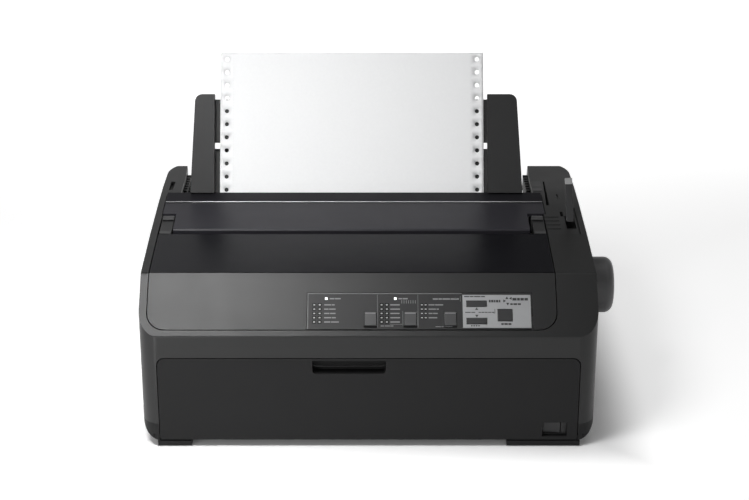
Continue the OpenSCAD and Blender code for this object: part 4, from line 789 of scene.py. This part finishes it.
# ---------------------------------------------------------------------------------------------------------------
# Studio: a white floor that glows where it is seen, with a painted contact shadow where the glow drops round the
# housing's footprint and a broad painted shade where it climbs slowly away from it, a small key high on the left,
# strips that draw the long edges, and a weak rim from behind.

floor_mesh = bpy.data.meshes.new("floor")
floor_mesh.from_pydata([(-6, -6, 0), (6, -6, 0), (6, 6, 0), (-6, 6, 0)], [], [(0, 1, 2, 3)])
floor = bpy.data.objects.new("floor", floor_mesh)
bpy.context.scene.collection.objects.link(floor)
floor_finish, inputs, place = finish("floor")


def rays(tree):
    """Two wires: 1 for rays straight from the camera, and 1 for rays that a surface mirrors or lets through."""
    kinds = tree.nodes.new("ShaderNodeLightPath").outputs
    return Wire(tree, kinds["Is Camera Ray"]), Wire(tree, kinds["Is Glossy Ray"]) + Wire(
        tree, kinds["Is Transmission Ray"])


def eased(distance, start, end, low, high):
    """Goes smoothly from low to high between two distances in metres."""
    return distance.add("MapRange", {"interpolation_type": "SMOOTHSTEP"},
                        {0: distance, 1: start, 2: end, 3: low, 4: high})


direct, mirrored = rays(place.tree)
beside = place.sum("ABSOLUTE", place.axis(0)) - 0.2
before = place.sum("ABSOLUTE", place.axis(1)) - 0.16
away = place.sum("MAXIMUM", beside, before)
# The glow drops close round the housing's footprint, which paints a contact shadow beside the feet. It climbs only
# slowly to full away from the housing, which paints a broad shade on the floor near it.
glow_with_painted_shadow = eased(away, -0.01, 0.05, 0.04, 0.5) + eased(away, 0.05, 0.9, 0.0, 0.5)
feed(inputs, {
    "Base Color": place.noise(3, 2).between((0.9, 0.9, 0.9), (0.92, 0.92, 0.92)),
    "Roughness": 0.9,
    "Specular IOR Level": 0.0,
    "Emission Color": ((direct + mirrored) * glow_with_painted_shadow).between((0.0, 0.0, 0.0), (1.0, 1.0, 1.0)),
    "Emission Strength": 1.0,
})
floor_mesh.materials.append(floor_finish)

world = bpy.data.worlds.new("studio")
bpy.context.scene.world = world
world.use_nodes = True
tree = world.node_tree
backdrop = tree.nodes["Background"]
direct, mirrored = rays(tree)
height = Wire(tree, tree.nodes.new("ShaderNodeTexCoord").outputs["Generated"]).axis(2)
horizon = height.add("MapRange", {}, {0: height, 1: 0.12, 2: 0.45, 3: 1.0, 4: 0.12})
strength = direct + (1 - direct) * (mirrored * horizon * 0.8 + (1 - mirrored) * 0.19)
tree.links.new(strength.socket, backdrop.inputs["Strength"])
backdrop.inputs["Color"].default_value = (1, 1, 1, 1)


def soft_light(name, place, target, size, power, spread=180):
    """An area light at a place, turned to its target, whose light leaves within the given angle."""
    light = bpy.data.lights.new(name, "AREA")
    light.spread = radians(spread)
    light.shape, light.size, light.size_y, light.energy = "RECTANGLE", size[0], size[1], power
    lamp = bpy.data.objects.new(name, light)
    bpy.context.scene.collection.objects.link(lamp)
    lamp.location = place
    lamp.rotation_euler = (Vector(target) - Vector(place)).to_track_quat("-Z", "Y").to_euler()


soft_light("key", (-0.262, -0.373, 0.75), (-0.19, -0.14, 0.13), (0.26, 0.26), 1.6, 100)
soft_light("low left", (-0.5, -0.8, 0.14), (-0.17, -0.16, 0.07), (0.3, 0.2), 2)
soft_light("overhead", (0, -0.35, 1.3), (0, -0.1, 0.1), (0.8, 0.6), 0.9)
soft_light("top strip", (0.2, 0.2, 1.1), (0.1, -0.1, 0.14), (0.9, 0.12), 0.9)
soft_light("front strip", (0.35, -1.2, 0.75), (0.1, -0.15, 0.1), (0.9, 0.12), 0.8)
soft_light("rear rim", (-0.7, 1.3, 1.0), (-0.05, 0, 0.15), (1.2, 0.5), 1.2)

bpy.context.scene.view_settings.view_transform = "Standard"
